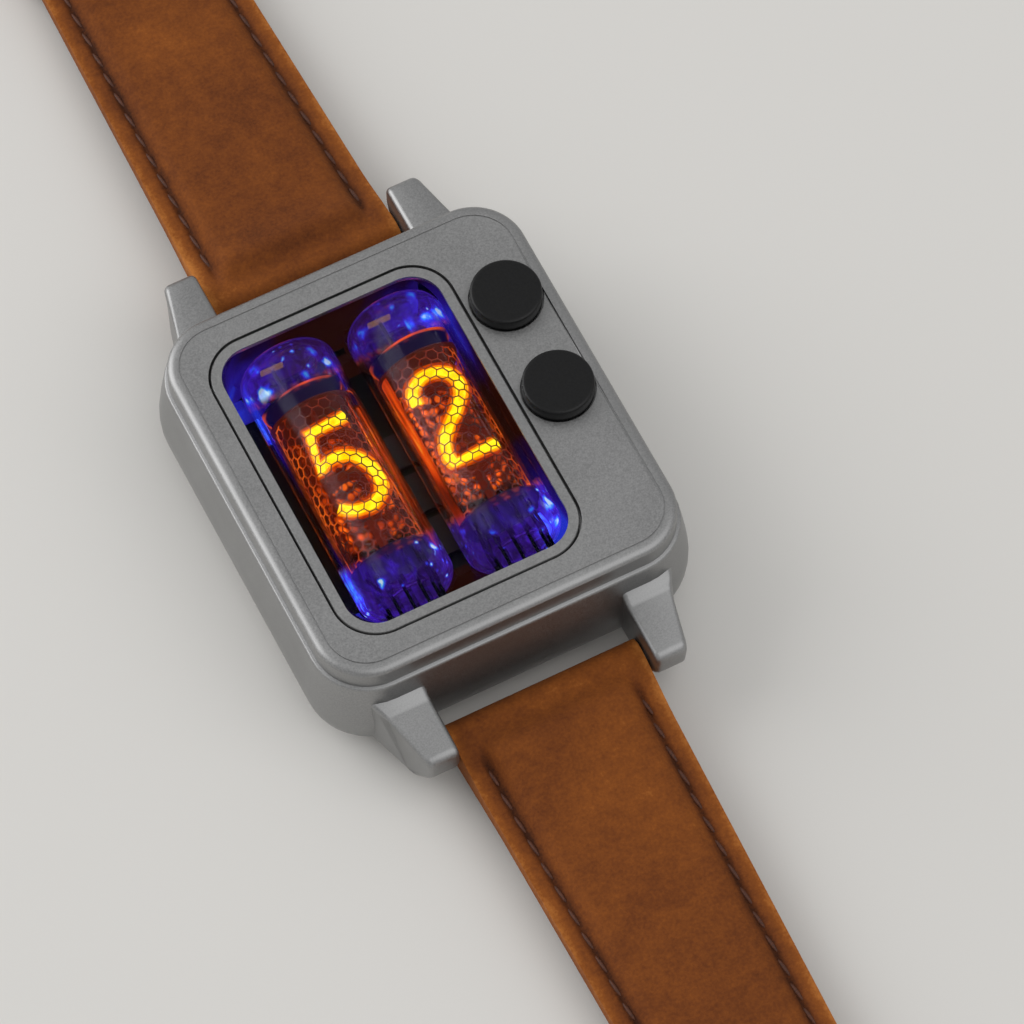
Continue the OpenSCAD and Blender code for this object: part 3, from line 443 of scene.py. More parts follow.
tube_glass, tree, shader = material(
    "drawn_tube_glass", Base_Color=paint("#f4f6ff"), Roughness=0.01, IOR=1.47, Transmission_Weight=1.0,
    Specular_IOR_Level=0.1, Specular_Tint=paint("#585860"))
spot = add(tree, "ShaderNodeTexCoord").outputs["Object"]
parts = add(tree, "ShaderNodeSeparateXYZ", {"Vector": spot})
# the lamps' light ends on a plane that leans across the tubes
light_lean = 0.458
along = add(tree, "ShaderNodeMath", {0: parts.outputs["Z"], 1: light_lean, 2: parts.outputs["Y"]},
            operation="MULTIPLY_ADD")
along = add(tree, "ShaderNodeMath", {0: along.outputs[0], 1: light_lean * tube_z}, operation="SUBTRACT")
along = along.outputs[0]
upper = add(tree, "ShaderNodeMapRange", {"Value": along, "From Min": 14.8 * MM, "From Max": 16.0 * MM})
lower = add(tree, "ShaderNodeMapRange", {"Value": along, "From Min": -7.0 * MM, "From Max": -8.2 * MM})
upper, lower = upper.outputs[0], lower.outputs[0]
ends = add(tree, "ShaderNodeMath", {0: upper, 1: lower}, operation="MAXIMUM").outputs[0]
pair, axis = off_axis(tree, parts.outputs["X"])
outside = add(tree, "ShaderNodeMapRange", {"Value": pair, "From Min": 6.0 * MM, "From Max": 12.5 * MM})
# painted lamp light: violet haze in long soft streaks, with small cyan sparks where the glass acts as a lens
drawn = add(tree, "ShaderNodeMapping", {"Vector": spot, "Scale": (1.5, 0.6, 1.5)})
haze = add(tree, "ShaderNodeTexNoise", {"Vector": drawn.outputs[0], "Scale": 420, "Detail": 3,
                                        "Distortion": 1.2})
haze = add(tree, "ShaderNodeMapRange", {"Value": haze.outputs["Fac"], "From Min": 0.36, "From Max": 0.8})
sparks = add(tree, "ShaderNodeTexVoronoi", {"Vector": spot, "Scale": 520})
sparks = add(tree, "ShaderNodeMapRange", {"Value": sparks.outputs["Distance"], "From Min": 0.2,
                                          "From Max": 0.05})
seldom = add(tree, "ShaderNodeTexNoise", {"Vector": spot, "Scale": 330, "Detail": 0})
seldom = add(tree, "ShaderNodeMapRange", {"Value": seldom.outputs["Fac"], "From Min": 0.55, "From Max": 0.62,
                                          "To Max": 0.8})
sparks = add(tree, "ShaderNodeMath", {0: sparks.outputs[0], 1: seldom.outputs[0]}, operation="MULTIPLY")
light = add(tree, "ShaderNodeMath", {0: haze.outputs[0], 1: 0.46}, operation="MULTIPLY")
light = add(tree, "ShaderNodeMath", {0: outside.outputs[0], 1: 0.1, 2: light.outputs[0]},
            operation="MULTIPLY_ADD")
light = add(tree, "ShaderNodeMath", {0: light.outputs[0], 1: sparks.outputs[0]}, operation="ADD")
# painted highlights, the bright sparks: x, y, z and reach in mm, then brightness, with edges that ripple
swing = Vector((1.6, 0.9, 1.6)) * MM
ripple = add(tree, "ShaderNodeTexNoise", {"Vector": spot, "Scale": 800, "Detail": 1})
ripple = add(tree, "ShaderNodeVectorMath", {0: ripple.outputs["Color"], 1: swing, 2: spot},
             operation="MULTIPLY_ADD")
ripple = add(tree, "ShaderNodeVectorMath", {0: ripple.outputs[0], 1: swing / 2}, operation="SUBTRACT")
for x, y, z, reach, level in (
        (-14.0, -8.0, 9.3, 1.0, 0.5), (-14.0, -9.8, 9.2, 1.5, 0.5), (-13.9, -11.6, 9.8, 1.4, 0.5),
        (-11.5, -13.1, 13.4, 0.7, 0.9), (-13.5, -14.0, 11.0, 0.8, 0.8), (-4.1, -11.4, 12.8, 0.8, 0.7),
        (-9.6, -12.0, 14.3, 1.2, 0.3), (9.9, -12.0, 12.2, 1.3, 0.8), (9.8, -13.8, 10.4, 1.2, 0.8),
        (7.6, -12.8, 14.0, 0.7, 0.6), (7.6, -14.0, 10.5, 1.1, 0.4), (-0.1, -10.5, 11.0, 0.8, 0.5),
        (2.4, -13.2, 13.7, 0.7, 0.5), (-12.5, 14.4, 12.6, 1.5, 1.2), (-4.3, 14.8, 12.9, 1.0, 1.0),
        (-5.5, 16.5, 13.8, 0.9, 0.5), (-7.4, 13.8, 14.4, 1.0, 0.5), (-9.0, 16.6, 14.4, 0.5, 0.7),
        (-14.0, 15.9, 9.7, 1.0, 0.7), (-12.1, 17.8, 12.6, 1.1, 0.6), (0.9, 16.6, 12.4, 1.0, 0.6),
        (-0.3, 16.2, 10.4, 1.1, 0.5), (4.7, 17.0, 14.5, 0.7, 0.5), (5.9, 14.1, 14.5, 1.3, 0.5),
        (7.9, 14.5, 13.9, 1.2, 0.7), (9.8, 15.2, 12.3, 1.3, 0.9), (9.2, 12.6, 13.0, 0.8, 0.5),
        (7.6, 17.8, 13.8, 1.2, 0.6)):
    near = add(tree, "ShaderNodeVectorMath", {0: ripple.outputs[0], 1: Vector((x, y, z)) * MM},
               operation="DISTANCE")
    near = add(tree, "ShaderNodeMapRange", {"Value": near.outputs["Value"], "From Min": reach * MM,
                                            "From Max": reach * MM / 4, "To Max": level})
    light = add(tree, "ShaderNodeMath", {0: light.outputs[0], 1: near.outputs[0]}, operation="ADD",
                use_clamp=True)
blue = add(tree, "ShaderNodeValToRGB", {"Fac": light.outputs[0]}, [
    (0, "#0a0216"), (0.2, "#1d0a44"), (0.42, "#31148e"), (0.64, "#2840ee"), (0.84, "#35aaff"),
    (1, "#dcfbff")])
# painted neon light on the back wall behind the digits: near the axis, below it, and between the ends
digits_y = 3.0 * MM
beside = add(tree, "ShaderNodeMapRange", {"Value": axis, "From Min": 5.2 * MM, "From Max": 3.8 * MM})
below = add(tree, "ShaderNodeMapRange", {"Value": parts.outputs["Z"], "From Min": 8.5 * MM,
                                         "From Max": 6.5 * MM})
behind = add(tree, "ShaderNodeMath", {0: beside.outputs[0], 1: below.outputs[0]}, operation="MULTIPLY")
middle = add(tree, "ShaderNodeMath", {0: along, 1: digits_y}, operation="SUBTRACT")
middle = add(tree, "ShaderNodeMath", {0: middle.outputs[0]}, operation="ABSOLUTE")
middle = add(tree, "ShaderNodeMapRange", {"Value": middle.outputs[0], "From Min": 9.9 * MM,
                                          "From Max": 8.5 * MM})
behind = add(tree, "ShaderNodeMath", {0: behind.outputs[0], 1: middle.outputs[0]}, operation="MULTIPLY")
# seen through the anode, each hole's neon light is painted as a soft orange disc
discs = add(tree, "ShaderNodeTexVoronoi", {"Vector": spot, "Scale": 740, "Randomness": 0.35})
discs = add(tree, "ShaderNodeMapRange", {"Value": discs.outputs["Distance"], "From Min": 0.46,
                                         "From Max": 0.3})
fade = add(tree, "ShaderNodeTexNoise", {"Vector": spot, "Scale": 190, "Detail": 1})
fade = add(tree, "ShaderNodeMapRange", {"Value": fade.outputs["Fac"], "From Min": 0.34, "From Max": 0.58})
discs = add(tree, "ShaderNodeMath", {0: discs.outputs[0], 1: fade.outputs[0]}, operation="MULTIPLY")
orange = add(tree, "ShaderNodeValToRGB", {"Fac": discs.outputs[0]}, [
    (0, "#3c0d03"), (0.5, "#a83206"), (1, "#ff6a12")])
both = add(tree, "ShaderNodeMix", {"Factor": ends, 6: orange.outputs[0], 7: blue.outputs[0]},
           data_type="RGBA")
tree.links.new(both.outputs[2], shader.inputs["Emission Color"])
glow = add(tree, "ShaderNodeMath", {0: ends, 1: 0.45}, operation="MULTIPLY")
glow = add(tree, "ShaderNodeMath", {0: lower, 1: 0.2, 2: glow.outputs[0]}, operation="MULTIPLY_ADD")
glow = add(tree, "ShaderNodeMath", {0: glow.outputs[0], 1: behind.outputs[0]}, operation="MAXIMUM")
tree.links.new(glow.outputs[0], shader.inputs["Emission Strength"])

glass_t, end_round = 0.8 * MM, 2.4 * MM
for name in ("left", "right"):
    low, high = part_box("tube_glass_" + name)
    axis_x = tube_axis(name)[0]
    turns = [math.radians(a) for a in range(0, 91, 10)]
    bow = [(tube_r - end_round * (1 - math.sin(a)), end_round * (1 - math.cos(a))) for a in turns]
    outline = [(0, low[1])] + [(r, low[1] + d) for r, d in bow]
    outline += [(r, high[1] - d) for r, d in reversed(bow)] + [(0, high[1])]
    shell = bmesh.new()
    line = [shell.verts.new((axis_x + r, y, tube_z)) for r, y in outline]
    edges = [shell.edges.new(two) for two in zip(line, line[1:])]
    bmesh.ops.spin(shell, geom=line + edges, cent=(axis_x, 0, tube_z), axis=(0, 1, 0), dvec=(0, 0, 0),
                   angle=math.tau, steps=72, use_merge=True)
    bmesh.ops.remove_doubles(shell, verts=shell.verts, dist=1e-6)
    bmesh.ops.recalc_face_normals(shell, faces=shell.faces)
    bmesh.ops.solidify(shell, geom=shell.faces[:], thickness=glass_t)
    glass = place("drawn_glass_" + name, shell, tube_glass, math.radians(40))
    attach(glass, "case")
    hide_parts("tube_glass_" + name)


# ---- Anode mesh ----
# A thin sheet of steel, etched into a honeycomb and bent round the front of the digits.
# The orange-red light of the discharge behind its thin webs is painted on them as a glow of their
# own, and so it is on the plain strip along the edge that faces the other tube.
mesh_metal, tree, shader = material("etched_anode_steel", Base_Color=paint("#1c0803"), Roughness=0.45)
spot = add(tree, "ShaderNodeTexCoord").outputs["Object"]
lick = add(tree, "ShaderNodeTexNoise", {"Vector": spot, "Scale": 260, "Detail": 2})
lick = add(tree, "ShaderNodeMapRange", {"Value": lick.outputs["Fac"], "From Min": 0.38, "From Max": 0.62})
# the webs' painted light stays dark at the front and grows where they turn side-on
front, flank = 2.4 * MM, 4.0 * MM
across = add(tree, "ShaderNodeSeparateXYZ", {"Vector": spot})
across = off_axis(tree, across.outputs["X"])[1]
across = add(tree, "ShaderNodeMapRange", {"Value": across, "From Min": front, "From Max": flank,
                                          "To Min": 0.25})
lick = add(tree, "ShaderNodeMath", {0: lick.outputs[0], 1: across.outputs[0]}, operation="MULTIPLY")
lick = add(tree, "ShaderNodeValToRGB", {"Fac": lick.outputs[0]}, [
    (0, "#260702"), (0.4, "#a02c06"), (1, "#ff6a12")])
tree.links.new(lick.outputs[0], shader.inputs["Emission Color"])
shader.inputs["Emission Strength"].default_value = 0.8
strip_metal, tree, shader = material("anode_side_strip", Base_Color=paint("#200803"), Roughness=0.4)
spot = add(tree, "ShaderNodeTexCoord").outputs["Object"]
stretch = add(tree, "ShaderNodeMapping", {"Vector": spot, "Scale": (3, 0.45, 3)})
flame = add(tree, "ShaderNodeTexNoise", {"Vector": stretch.outputs[0], "Scale": 280, "Detail": 3})
flame = add(tree, "ShaderNodeMapRange", {"Value": flame.outputs["Fac"], "From Min": 0.36, "From Max": 0.66})
# the painted discharge light reaches the upper two thirds of the strip
reach = add(tree, "ShaderNodeSeparateXYZ", {"Vector": spot})
reach = add(tree, "ShaderNodeMapRange", {"Value": reach.outputs["Y"], "From Min": -5.5 * MM,
                                         "From Max": 0.5 * MM, "To Min": 0.3})
flame = add(tree, "ShaderNodeMath", {0: flame.outputs[0], 1: reach.outputs[0]}, operation="MULTIPLY")
flame = add(tree, "ShaderNodeValToRGB", {"Fac": flame.outputs[0]}, [
    (0, "#320802"), (0.4, "#c23408"), (0.75, "#ff5a10"), (1, "#ff9a28")])
tree.links.new(flame.outputs[0], shader.inputs["Emission Color"])
shader.inputs["Emission Strength"].default_value = 0.95

cell, web, sheet_t = 1.33 * MM, 0.12 * MM, 0.08 * MM
sheet_drop, strip_t = 0.09 * MM, 0.1 * MM
inner_arc, outer_arc, strip_arc = math.radians(62), math.radians(88), math.radians(92)
for name in ("left", "right"):
    low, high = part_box("anode_mesh_" + name)
    axis_x = tube_axis(name)[0]
    bend = (high[0] - low[0]) / 2
    comb = bmesh.new()
    column = cell * math.sqrt(3) / 2
    inward = 1 if name == "left" else -1
    for i in range(-int(outer_arc * bend / column), int(inner_arc * bend / column) + 1):
        for j in range(int((high[1] - low[1]) / cell) + 1):
            hexagon = bmesh.ops.create_circle(comb, cap_ends=True, segments=6,
                                              radius=cell / math.sqrt(3))["verts"]
            bmesh.ops.rotate(comb, matrix=Matrix.Rotation(math.radians(30), 3, "Z"), verts=hexagon)
            bmesh.ops.translate(comb, vec=(inward * i * column, low[1] + (j + 0.5 * (i % 2)) * cell, 0),
                                verts=hexagon)
    bmesh.ops.remove_doubles(comb, verts=comb.verts, dist=cell * 0.05)
    bmesh.ops.inset_individual(comb, faces=comb.faces[:], thickness=web / 2, use_even_offset=True)
    bmesh.ops.delete(comb, geom=[f for f in comb.faces if len(f.verts) == 6], context="FACES_ONLY")
    for v in comb.verts:
        v.co.y = min(max(v.co.y, low[1]), high[1])
    bmesh.ops.remove_doubles(comb, verts=comb.verts, dist=1e-6)
    bmesh.ops.dissolve_degenerate(comb, dist=1e-6, edges=comb.edges)
    bmesh.ops.recalc_face_normals(comb, faces=comb.faces)
    bmesh.ops.solidify(comb, geom=comb.faces[:], thickness=sheet_t)
    for v in comb.verts:
        angle, reach = v.co.x / bend, bend + v.co.z - sheet_drop
        v.co = (axis_x + reach * math.sin(angle), v.co.y, tube_z + reach * math.cos(angle))
    anode = place("anode_comb_" + name, comb, mesh_metal)

    fold = bmesh.new()
    seam_x, seam_z = axis_x + inward * bend * math.sin(inner_arc), tube_z + bend * math.cos(inner_arc)
    seam = [fold.verts.new((seam_x, y, seam_z)) for y in (low[1], high[1])]
    edge = fold.edges.new(seam)
    bmesh.ops.spin(fold, geom=[edge] + seam, cent=(axis_x, 0, tube_z), axis=(0, inward, 0), dvec=(0, 0, 0),
                   angle=strip_arc - inner_arc, steps=12, use_merge=False)
    bmesh.ops.remove_doubles(fold, verts=fold.verts, dist=1e-6)
    bmesh.ops.recalc_face_normals(fold, faces=fold.faces)
    bmesh.ops.solidify(fold, geom=fold.faces[:], thickness=strip_t)
    strip = place("anode_strip_" + name, fold, strip_metal)
    for piece in (anode, strip):
        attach(piece, "case")
        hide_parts("anode_mesh_" + name)


# ---- Lit digits ----
# The glow that neon makes round a lit cathode: a yellow core that follows the numeral's wire
# and fills one cell of the anode across, inside two thinner shells of orange light. It flickers
# from cell to cell of the anode, so its colour wanders over 1.3 mm.
def glow_look(name, dull, bright, strength, alpha):
    """Glowing neon: a black body with light of its own. Below an alpha of 1 one sees through it."""
    made, tree, shader = material(name, Base_Color=paint("#100200"), Roughness=1.0, Alpha=alpha,
                                  Specular_IOR_Level=0.0, Emission_Strength=strength)
    spot = add(tree, "ShaderNodeTexCoord").outputs["Object"]
    flicker = add(tree, "ShaderNodeTexNoise", {"Vector": spot, "Scale": 750, "Detail": 1})
    flicker = add(tree, "ShaderNodeValToRGB", {"Fac": flicker.outputs["Fac"]}, [(0.36, dull), (0.62, bright)])
    tree.links.new(flicker.outputs[0], shader.inputs["Emission Color"])
    return made


# each shell's radius and half thickness in mm
glow_shells = (
    (0.62, 0.26, glow_look("neon_core", "#ffba00", "#ffe01a", 1.7, 1.0)),
    (0.86, 0.18, glow_look("neon_sheath", "#ff7a00", "#ffa200", 1.5, 0.7)),
    (1.20, 0.10, glow_look("neon_halo", "#c83000", "#ff5c00", 1.0, 0.35)),
)
digit_paths = {
    "left": [(2.75, 8.2), (-1.75, 7.95), (-2.6, 3.3), (-1.7, 3.75), (-0.5, 3.95), (1.1, 3.45),
             (2.3, 1.9), (2.65, 0.0), (2.3, -1.9), (1.1, -3.0), (-0.4, -3.15), (-1.9, -2.7),
             (-2.85, -1.9)],
    "right": [(-2.75, 5.7), (-2.55, 7.2), (-1.5, 8.35), (0.1, 8.7), (1.6, 8.2), (2.4, 7.0),
              (2.3, 5.3), (1.2, 3.7), (-0.6, 2.0), (-1.9, 0.5), (-2.5, -1.2), (-2.4, -2.75),
              (2.95, -2.6)],
}
digit_corners = {"left": (0, 1, 2, 12), "right": (0, 11, 12)}
# the shells stay inside the bent anode, the wider ones a little lower
under_anode, core_r, drop = 4.42 * MM, 0.55, 0.1 * MM
for name, route in digit_paths.items():
    low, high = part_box("lit_digit_" + name)
    axis_x = tube_axis(name)[0]
    level = (low[2] + high[2]) / 2
    for radius, thick, look in glow_shells:
        curve = bpy.data.curves.new("digit", "CURVE")
        curve.dimensions = "3D"
        curve.bevel_depth = radius * MM
        curve.bevel_resolution = 3
        curve.use_fill_caps = True
        line = curve.splines.new("BEZIER")
        line.bezier_points.add(len(route) - 1)
        for i, (x, y) in enumerate(route):
            point = line.bezier_points[i]
            point.co = (axis_x + x * MM, y * MM, 0)
            handle = "VECTOR" if i in digit_corners[name] else "AUTO"
            point.handle_left_type = point.handle_right_type = handle
        line.resolution_u = 6
        holder = bpy.data.objects.new("digit_curve", curve)
        bpy.context.scene.collection.objects.link(holder)
        bpy.context.view_layer.update()
        mesh = bpy.data.meshes.new_from_object(holder)
        bpy.data.objects.remove(holder)
        for v in mesh.vertices:
            v.co.z = level + v.co.z * thick / radius
            room = math.sqrt(max(0.0, under_anode ** 2 - (v.co.x - axis_x) ** 2))
            v.co.z = min(v.co.z, tube_z + room - (radius - core_r) * drop)
        mesh.materials.clear()
        mesh.materials.append(look)
        digit = bpy.data.objects.new(f"{look.name}_{name}", mesh)
        bpy.context.scene.collection.objects.link(digit)
        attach(digit, "case")
        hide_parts("lit_digit_" + name)

# The unlit numerals behind are dull stamped steel. The lit one's red light on them is painted as an
# even red glow of their own.
stamped_steel = grained("stamped_cathode_steel", "#1c0c07", "#32160c", 0.8, 0.01, Roughness=0.5,
                        Specular_IOR_Level=0.2, Emission_Color=paint("#8c2206"), Emission_Strength=0.35)
finish_nodes(stamped_steel, "cathodes_left", "cathodes_right")

# Dark discs and side rods carry the stack. Their light is painted on them as a glow of their own:
# dull red on the parts near the digits, blue from the lamps beyond them, and one disc's edge lit red
# by the discharge.
mica, tree, shader = material("ceramic_and_mica_discs", Base_Color=paint("#100c22"), Roughness=0.6,
                              Specular_IOR_Level=0.2)
stack_mid, second_disc = 1.35 * MM, 12.8 * MM
spot = add(tree, "ShaderNodeTexCoord").outputs["Object"]
parts = add(tree, "ShaderNodeSeparateXYZ", {"Vector": spot})
blue_part = add(tree, "ShaderNodeMath", {0: parts.outputs["Y"], 1: stack_mid}, operation="SUBTRACT")
blue_part = add(tree, "ShaderNodeMath", {0: blue_part.outputs[0]}, operation="ABSOLUTE")
blue_part = add(tree, "ShaderNodeMapRange", {"Value": blue_part.outputs[0], "From Min": 9.8 * MM,
                                             "From Max": 10.4 * MM})
# the distance from the tube's axis, which is greatest at the rim
rim_start, rim_end = 4.62 * MM, 4.85 * MM
across = off_axis(tree, parts.outputs["X"])[1]
flat = add(tree, "ShaderNodeCombineXYZ", {"X": across, "Z": parts.outputs["Z"]})
edge = add(tree, "ShaderNodeVectorMath", {0: flat.outputs[0], 1: (0, 0, tube_z)}, operation="DISTANCE")
edge = add(tree, "ShaderNodeMapRange", {"Value": edge.outputs["Value"], "From Min": rim_start,
                                        "From Max": rim_end})
second = add(tree, "ShaderNodeMath", {0: parts.outputs["Y"], 1: second_disc}, operation="GREATER_THAN")
streak = add(tree, "ShaderNodeTexNoise", {"Vector": spot, "Scale": 300, "Detail": 1})
streak = add(tree, "ShaderNodeMapRange", {"Value": streak.outputs["Fac"], "From Min": 0.4, "From Max": 0.6})
edge = add(tree, "ShaderNodeMath", {0: edge.outputs[0], 1: second.outputs[0]}, operation="MULTIPLY")
edge = add(tree, "ShaderNodeMath", {0: edge.outputs[0], 1: streak.outputs[0]}, operation="MULTIPLY")
tint = add(tree, "ShaderNodeValToRGB", {"Fac": blue_part.outputs[0]}, [(0, "#4a1204"), (1, "#0b0730")])
tint = add(tree, "ShaderNodeMix", {"Factor": edge.outputs[0], 6: tint.outputs[0], 7: paint("#ff5a10")},
           data_type="RGBA")
tree.links.new(tint.outputs[2], shader.inputs["Emission Color"])
shader.inputs["Emission Strength"].default_value = 0.8
finish_nodes(mica, "stack_frame_left", "stack_frame_right")
# Above the discs a getter strip on a stem, burnt tan where it was fired to clear the tube. Its colour
# is given as a faint glow of its own, painted light that is tan on the strip and dark violet on the stem.
getter_metal = grained("burnt_getter_strip", "#2c1c14", "#44301f", 0.3, 0.01, Roughness=0.5,
                       Emission_Strength=0.4)
tree = getter_metal.node_tree
stem_end, strip_start = 17.0 * MM, 17.3 * MM
fired_glow = add(tree, "ShaderNodeSeparateXYZ", {"Vector": add(tree, "ShaderNodeTexCoord").outputs["Object"]})
fired_glow = add(tree, "ShaderNodeMapRange", {"Value": fired_glow.outputs["Y"], "From Min": stem_end,
                                         "From Max": strip_start})
fired_glow = add(tree, "ShaderNodeValToRGB", {"Fac": fired_glow.outputs[0]}, [(0, "#0c0620"), (1, "#a87850")])
tree.links.new(fired_glow.outputs[0], tree.nodes["Principled BSDF"].inputs["Emission Color"])
finish_nodes(getter_metal, "getters")
# The leads are painted dark and dull, standing in for the shade they lie in, so they stand dark against the
# blue.
lead_wire_in_painted_shade = grained("lead_wire_darkened_as_painted_shade", "#0a0a16", "#14162a", 0.4, 0.01, Roughness=0.8,
                    Specular_IOR_Level=0.1)
finish_nodes(lead_wire_in_painted_shade, "tube_leads")


# ---- Push buttons ----
# Turned aluminium caps, anodised black and pressed on a stem. The anodised grain is too fine to
# show, so it is drawn at 0.25 mm. It gives a soft black that only the rounded rim lights up.
black_cap, tree, shader = material("black_anodised_cap", Roughness=0.38, Specular_IOR_Level=0.3)
spot = add(tree, "ShaderNodeTexCoord").outputs["Object"]
grain = add(tree, "ShaderNodeTexNoise", {"Vector": spot, "Scale": 4200, "Detail": 2})
tone = add(tree, "ShaderNodeValToRGB", {"Fac": grain.outputs["Fac"]}, [(0.3, "#070708"), (0.7, "#111112")])
tree.links.new(tone.outputs[0], shader.inputs["Base Color"])
bump = add(tree, "ShaderNodeBump", {"Height": grain.outputs["Fac"], "Strength": 0.15, "Distance": 0.02 * MM})
tree.links.new(bump.outputs[0], shader.inputs["Normal"])
stem_r, under_face, rim_h = 1.5 * MM, 0.1 * MM, 0.28 * MM
rim_steps = [(0.05, 0.13), (0.1, 0.1), (0.16, 0.05), (0.3, 0.0), (0.3, 0.0)]
for name in ("upper", "lower"):
    low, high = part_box("button_" + name)
    middle = (low + high) / 2
    radius = (high[0] - low[0]) / 2
    cap = bmesh.new()
    stem = bmesh.ops.create_circle(cap, cap_ends=True, segments=96, radius=stem_r)["verts"]
    bmesh.ops.translate(cap, vec=(middle[0], middle[1], low[2]), verts=stem)
    face = cap.faces[:][0]
    if face.normal.z < 0:
        face.normal_flip()
    climb(cap, face, [(0, face_z - low[2])])
    base = bmesh.ops.create_circle(cap, cap_ends=True, segments=96, radius=radius)["verts"]
    bmesh.ops.translate(cap, vec=(middle[0], middle[1], face_z - under_face), verts=base)
    face = base[0].link_faces[0]
    if face.normal.z < 0:
        face.normal_flip()
    face = climb(cap, face, [(0, high[2] - face_z + under_face - rim_h)])
    climb(cap, face, [(a * MM, b * MM) for a, b in rim_steps])
    bmesh.ops.holes_fill(cap, edges=[e for e in cap.edges if e.is_boundary], sides=0)
    bmesh.ops.recalc_face_normals(cap, faces=cap.faces)
    button = place("button_cap_" + name, cap, black_cap, math.radians(30))
    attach(button, name + "_button")
    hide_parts("button_" + name)


# ---- Strap ----
# Each half is two layers of tan oiled nubuck, turned round the spring bar, padded along the
# middle and stitched flat along both edges with brown thread. The brushed nap scatters light, so
# the leather is matt and mottled and pale where it is rubbed, with painted shade darkening the
# stitched grooves. Its fibres are too fine to show, so the nap is drawn at 0.4 mm, in tufts of
# 1.5 mm and clouds of 13 mm.
nubuck, tree, shader = material("oiled_tan_nubuck", Roughness=0.82, IOR=1.45, Specular_IOR_Level=0.25,
                                Sheen_Weight=0.08, Sheen_Roughness=0.5, Sheen_Tint=paint("#e0a468"))
spot = add(tree, "ShaderNodeTexCoord").outputs["Object"]
wear_and_seam_shade = add(tree, "ShaderNodeAttribute", attribute_name="wear_and_seam_shade").outputs["Fac"]
mottle = add(tree, "ShaderNodeTexNoise", {"Vector": spot, "Scale": 75, "Detail": 4, "Roughness": 0.55})
nap = add(tree, "ShaderNodeTexNoise", {"Vector": spot, "Scale": 2600, "Detail": 3, "Roughness": 0.7})
fibre = add(tree, "ShaderNodeTexNoise", {"Vector": spot, "Scale": 650, "Detail": 3, "Roughness": 0.6})
tone = add(tree, "ShaderNodeMath", {0: mottle.outputs["Fac"], 1: 0.7, 2: 0.09}, operation="MULTIPLY_ADD")
fine = add(tree, "ShaderNodeMath", {0: nap.outputs["Fac"], 1: fibre.outputs["Fac"]}, operation="ADD")
fine = add(tree, "ShaderNodeMath", {0: fine.outputs[0], 1: 0.38, 2: -0.38}, operation="MULTIPLY_ADD")
tone = add(tree, "ShaderNodeMath", {0: tone.outputs[0], 1: fine.outputs[0]}, operation="ADD")
# the attribute lightens the rubbed edges and darkens the stitched groove with painted shade
tone = add(tree, "ShaderNodeMath", {0: wear_and_seam_shade, 1: 0.45, 2: tone.outputs[0]}, operation="MULTIPLY_ADD",
           use_clamp=True)
tone = add(tree, "ShaderNodeValToRGB", {"Fac": tone.outputs[0]}, [
    (0, "#3a1a08"), (0.35, "#6a3612"), (0.65, "#884a18"), (1, "#b87232")])
tree.links.new(tone.outputs[0], shader.inputs["Base Color"])
height = add(tree, "ShaderNodeMath", {0: nap.outputs["Fac"], 1: fibre.outputs["Fac"]}, operation="ADD")
bump = add(tree, "ShaderNodeBump", {"Height": height.outputs[0], "Strength": 0.5, "Distance": 0.06 * MM})
tree.links.new(bump.outputs[0], shader.inputs["Normal"])
# waxed thread has a slight shine on its twist
thread = grained("waxed_brown_thread", "#3d1c0b", "#5c2f16", 0.25, 0.05, Roughness=0.6)

# in mm: the halves' lengths from the spring bar, the flex joint, the widths at bar and buckle, the
# radius round the bar, the half thickness of the flat leather, the stitched margin and the padding
short_l, long_l, flex = 75.0, 115.0, 36.0
strap_w, strap_end_w = 23.8, 20.0
nose, half_t, margin, pad = 2.2, 1.1, 2.3, 1.7
tip_l, end_l = 14.0, 9.0
# each half slopes down to the table, where the short one rests on its fixed keeper
loop_t, loop_gap, loop_s = 1.2, 0.1, short_l - 8.4
tilt = {1: math.atan((bar_z - (half_t + loop_gap + loop_t) - 0.03) / loop_s),
        -1: math.atan((bar_z - half_t - 0.02) / long_l)}


def ease(t):
    """A soft step from 0 to 1."""
    t = min(max(t, 0.0), 1.0)
    return t * t * (3 - 2 * t)


def half_width(s, length):
    """Half the strap's width at s from the bar; the long half ends in a round tip."""
    w = (strap_w - (strap_w - strap_end_w) * min(max(s, 0), short_l) / short_l) / 2
    if length > short_l and s > length - tip_l:
        w *= math.sqrt(max(0.0, 1 - ((s - length + tip_l) / tip_l) ** 2.6))
    return w


def strap_top(x, s, length):
    """Height of the leather's upper face above the strap's middle plane: its skin, the padding
    that crowns towards the middle and thins towards the end, and the groove that the thread pulls."""
    if s < 0:
        return math.sqrt(max(0.0, nose ** 2 - s ** 2))
    skin = nose - (nose - half_t) * ease(s / 9)
    inner = half_width(min(s, length - tip_l), length) - margin - abs(x)
    lift = pad * (1 - 0.78 * min(s, 90) / 90)
    flat_l = 12 if length > short_l else 8
    ends = ease((s - 1.2) / 3.0) * ease((length - flat_l - s) / 5.0)
    crown = ease(inner / 1.9) * 0.8 + 0.2 * ease(inner / 9)
    valley = 0.4 * math.exp(-((inner + 0.05) / 0.42) ** 2) * ease((s - 2) / 2)
    valley *= ease((length - end_l - s) / 3)
    return skin + lift * ends * crown - valley


def strap_bottom(s):
    """Height of the lower face below the strap's middle plane, as a negative value."""
    if s < 0:
        return -math.sqrt(max(0.0, nose ** 2 - s ** 2))
    return -(nose - (nose - half_t) * ease(s / 14))


def on_strap(side, x, s, z):
    """A place in a strap half's own frame, as a place in the watch's frame."""
    c, d = math.cos(tilt[side]), math.sin(tilt[side])
    return Vector((side * x, side * (bar_y + s * c + z * d), bar_z - s * d + z * c)) * MM


def worn_edge(piece):
    """Rounds the cut edges of a leather piece, as wear does."""
    edge = piece.modifiers.new("edge", "BEVEL")
    edge.width = 0.3 * MM
    edge.segments = 3
    edge.limit_method = "ANGLE"
    edge.angle_limit = math.radians(50)


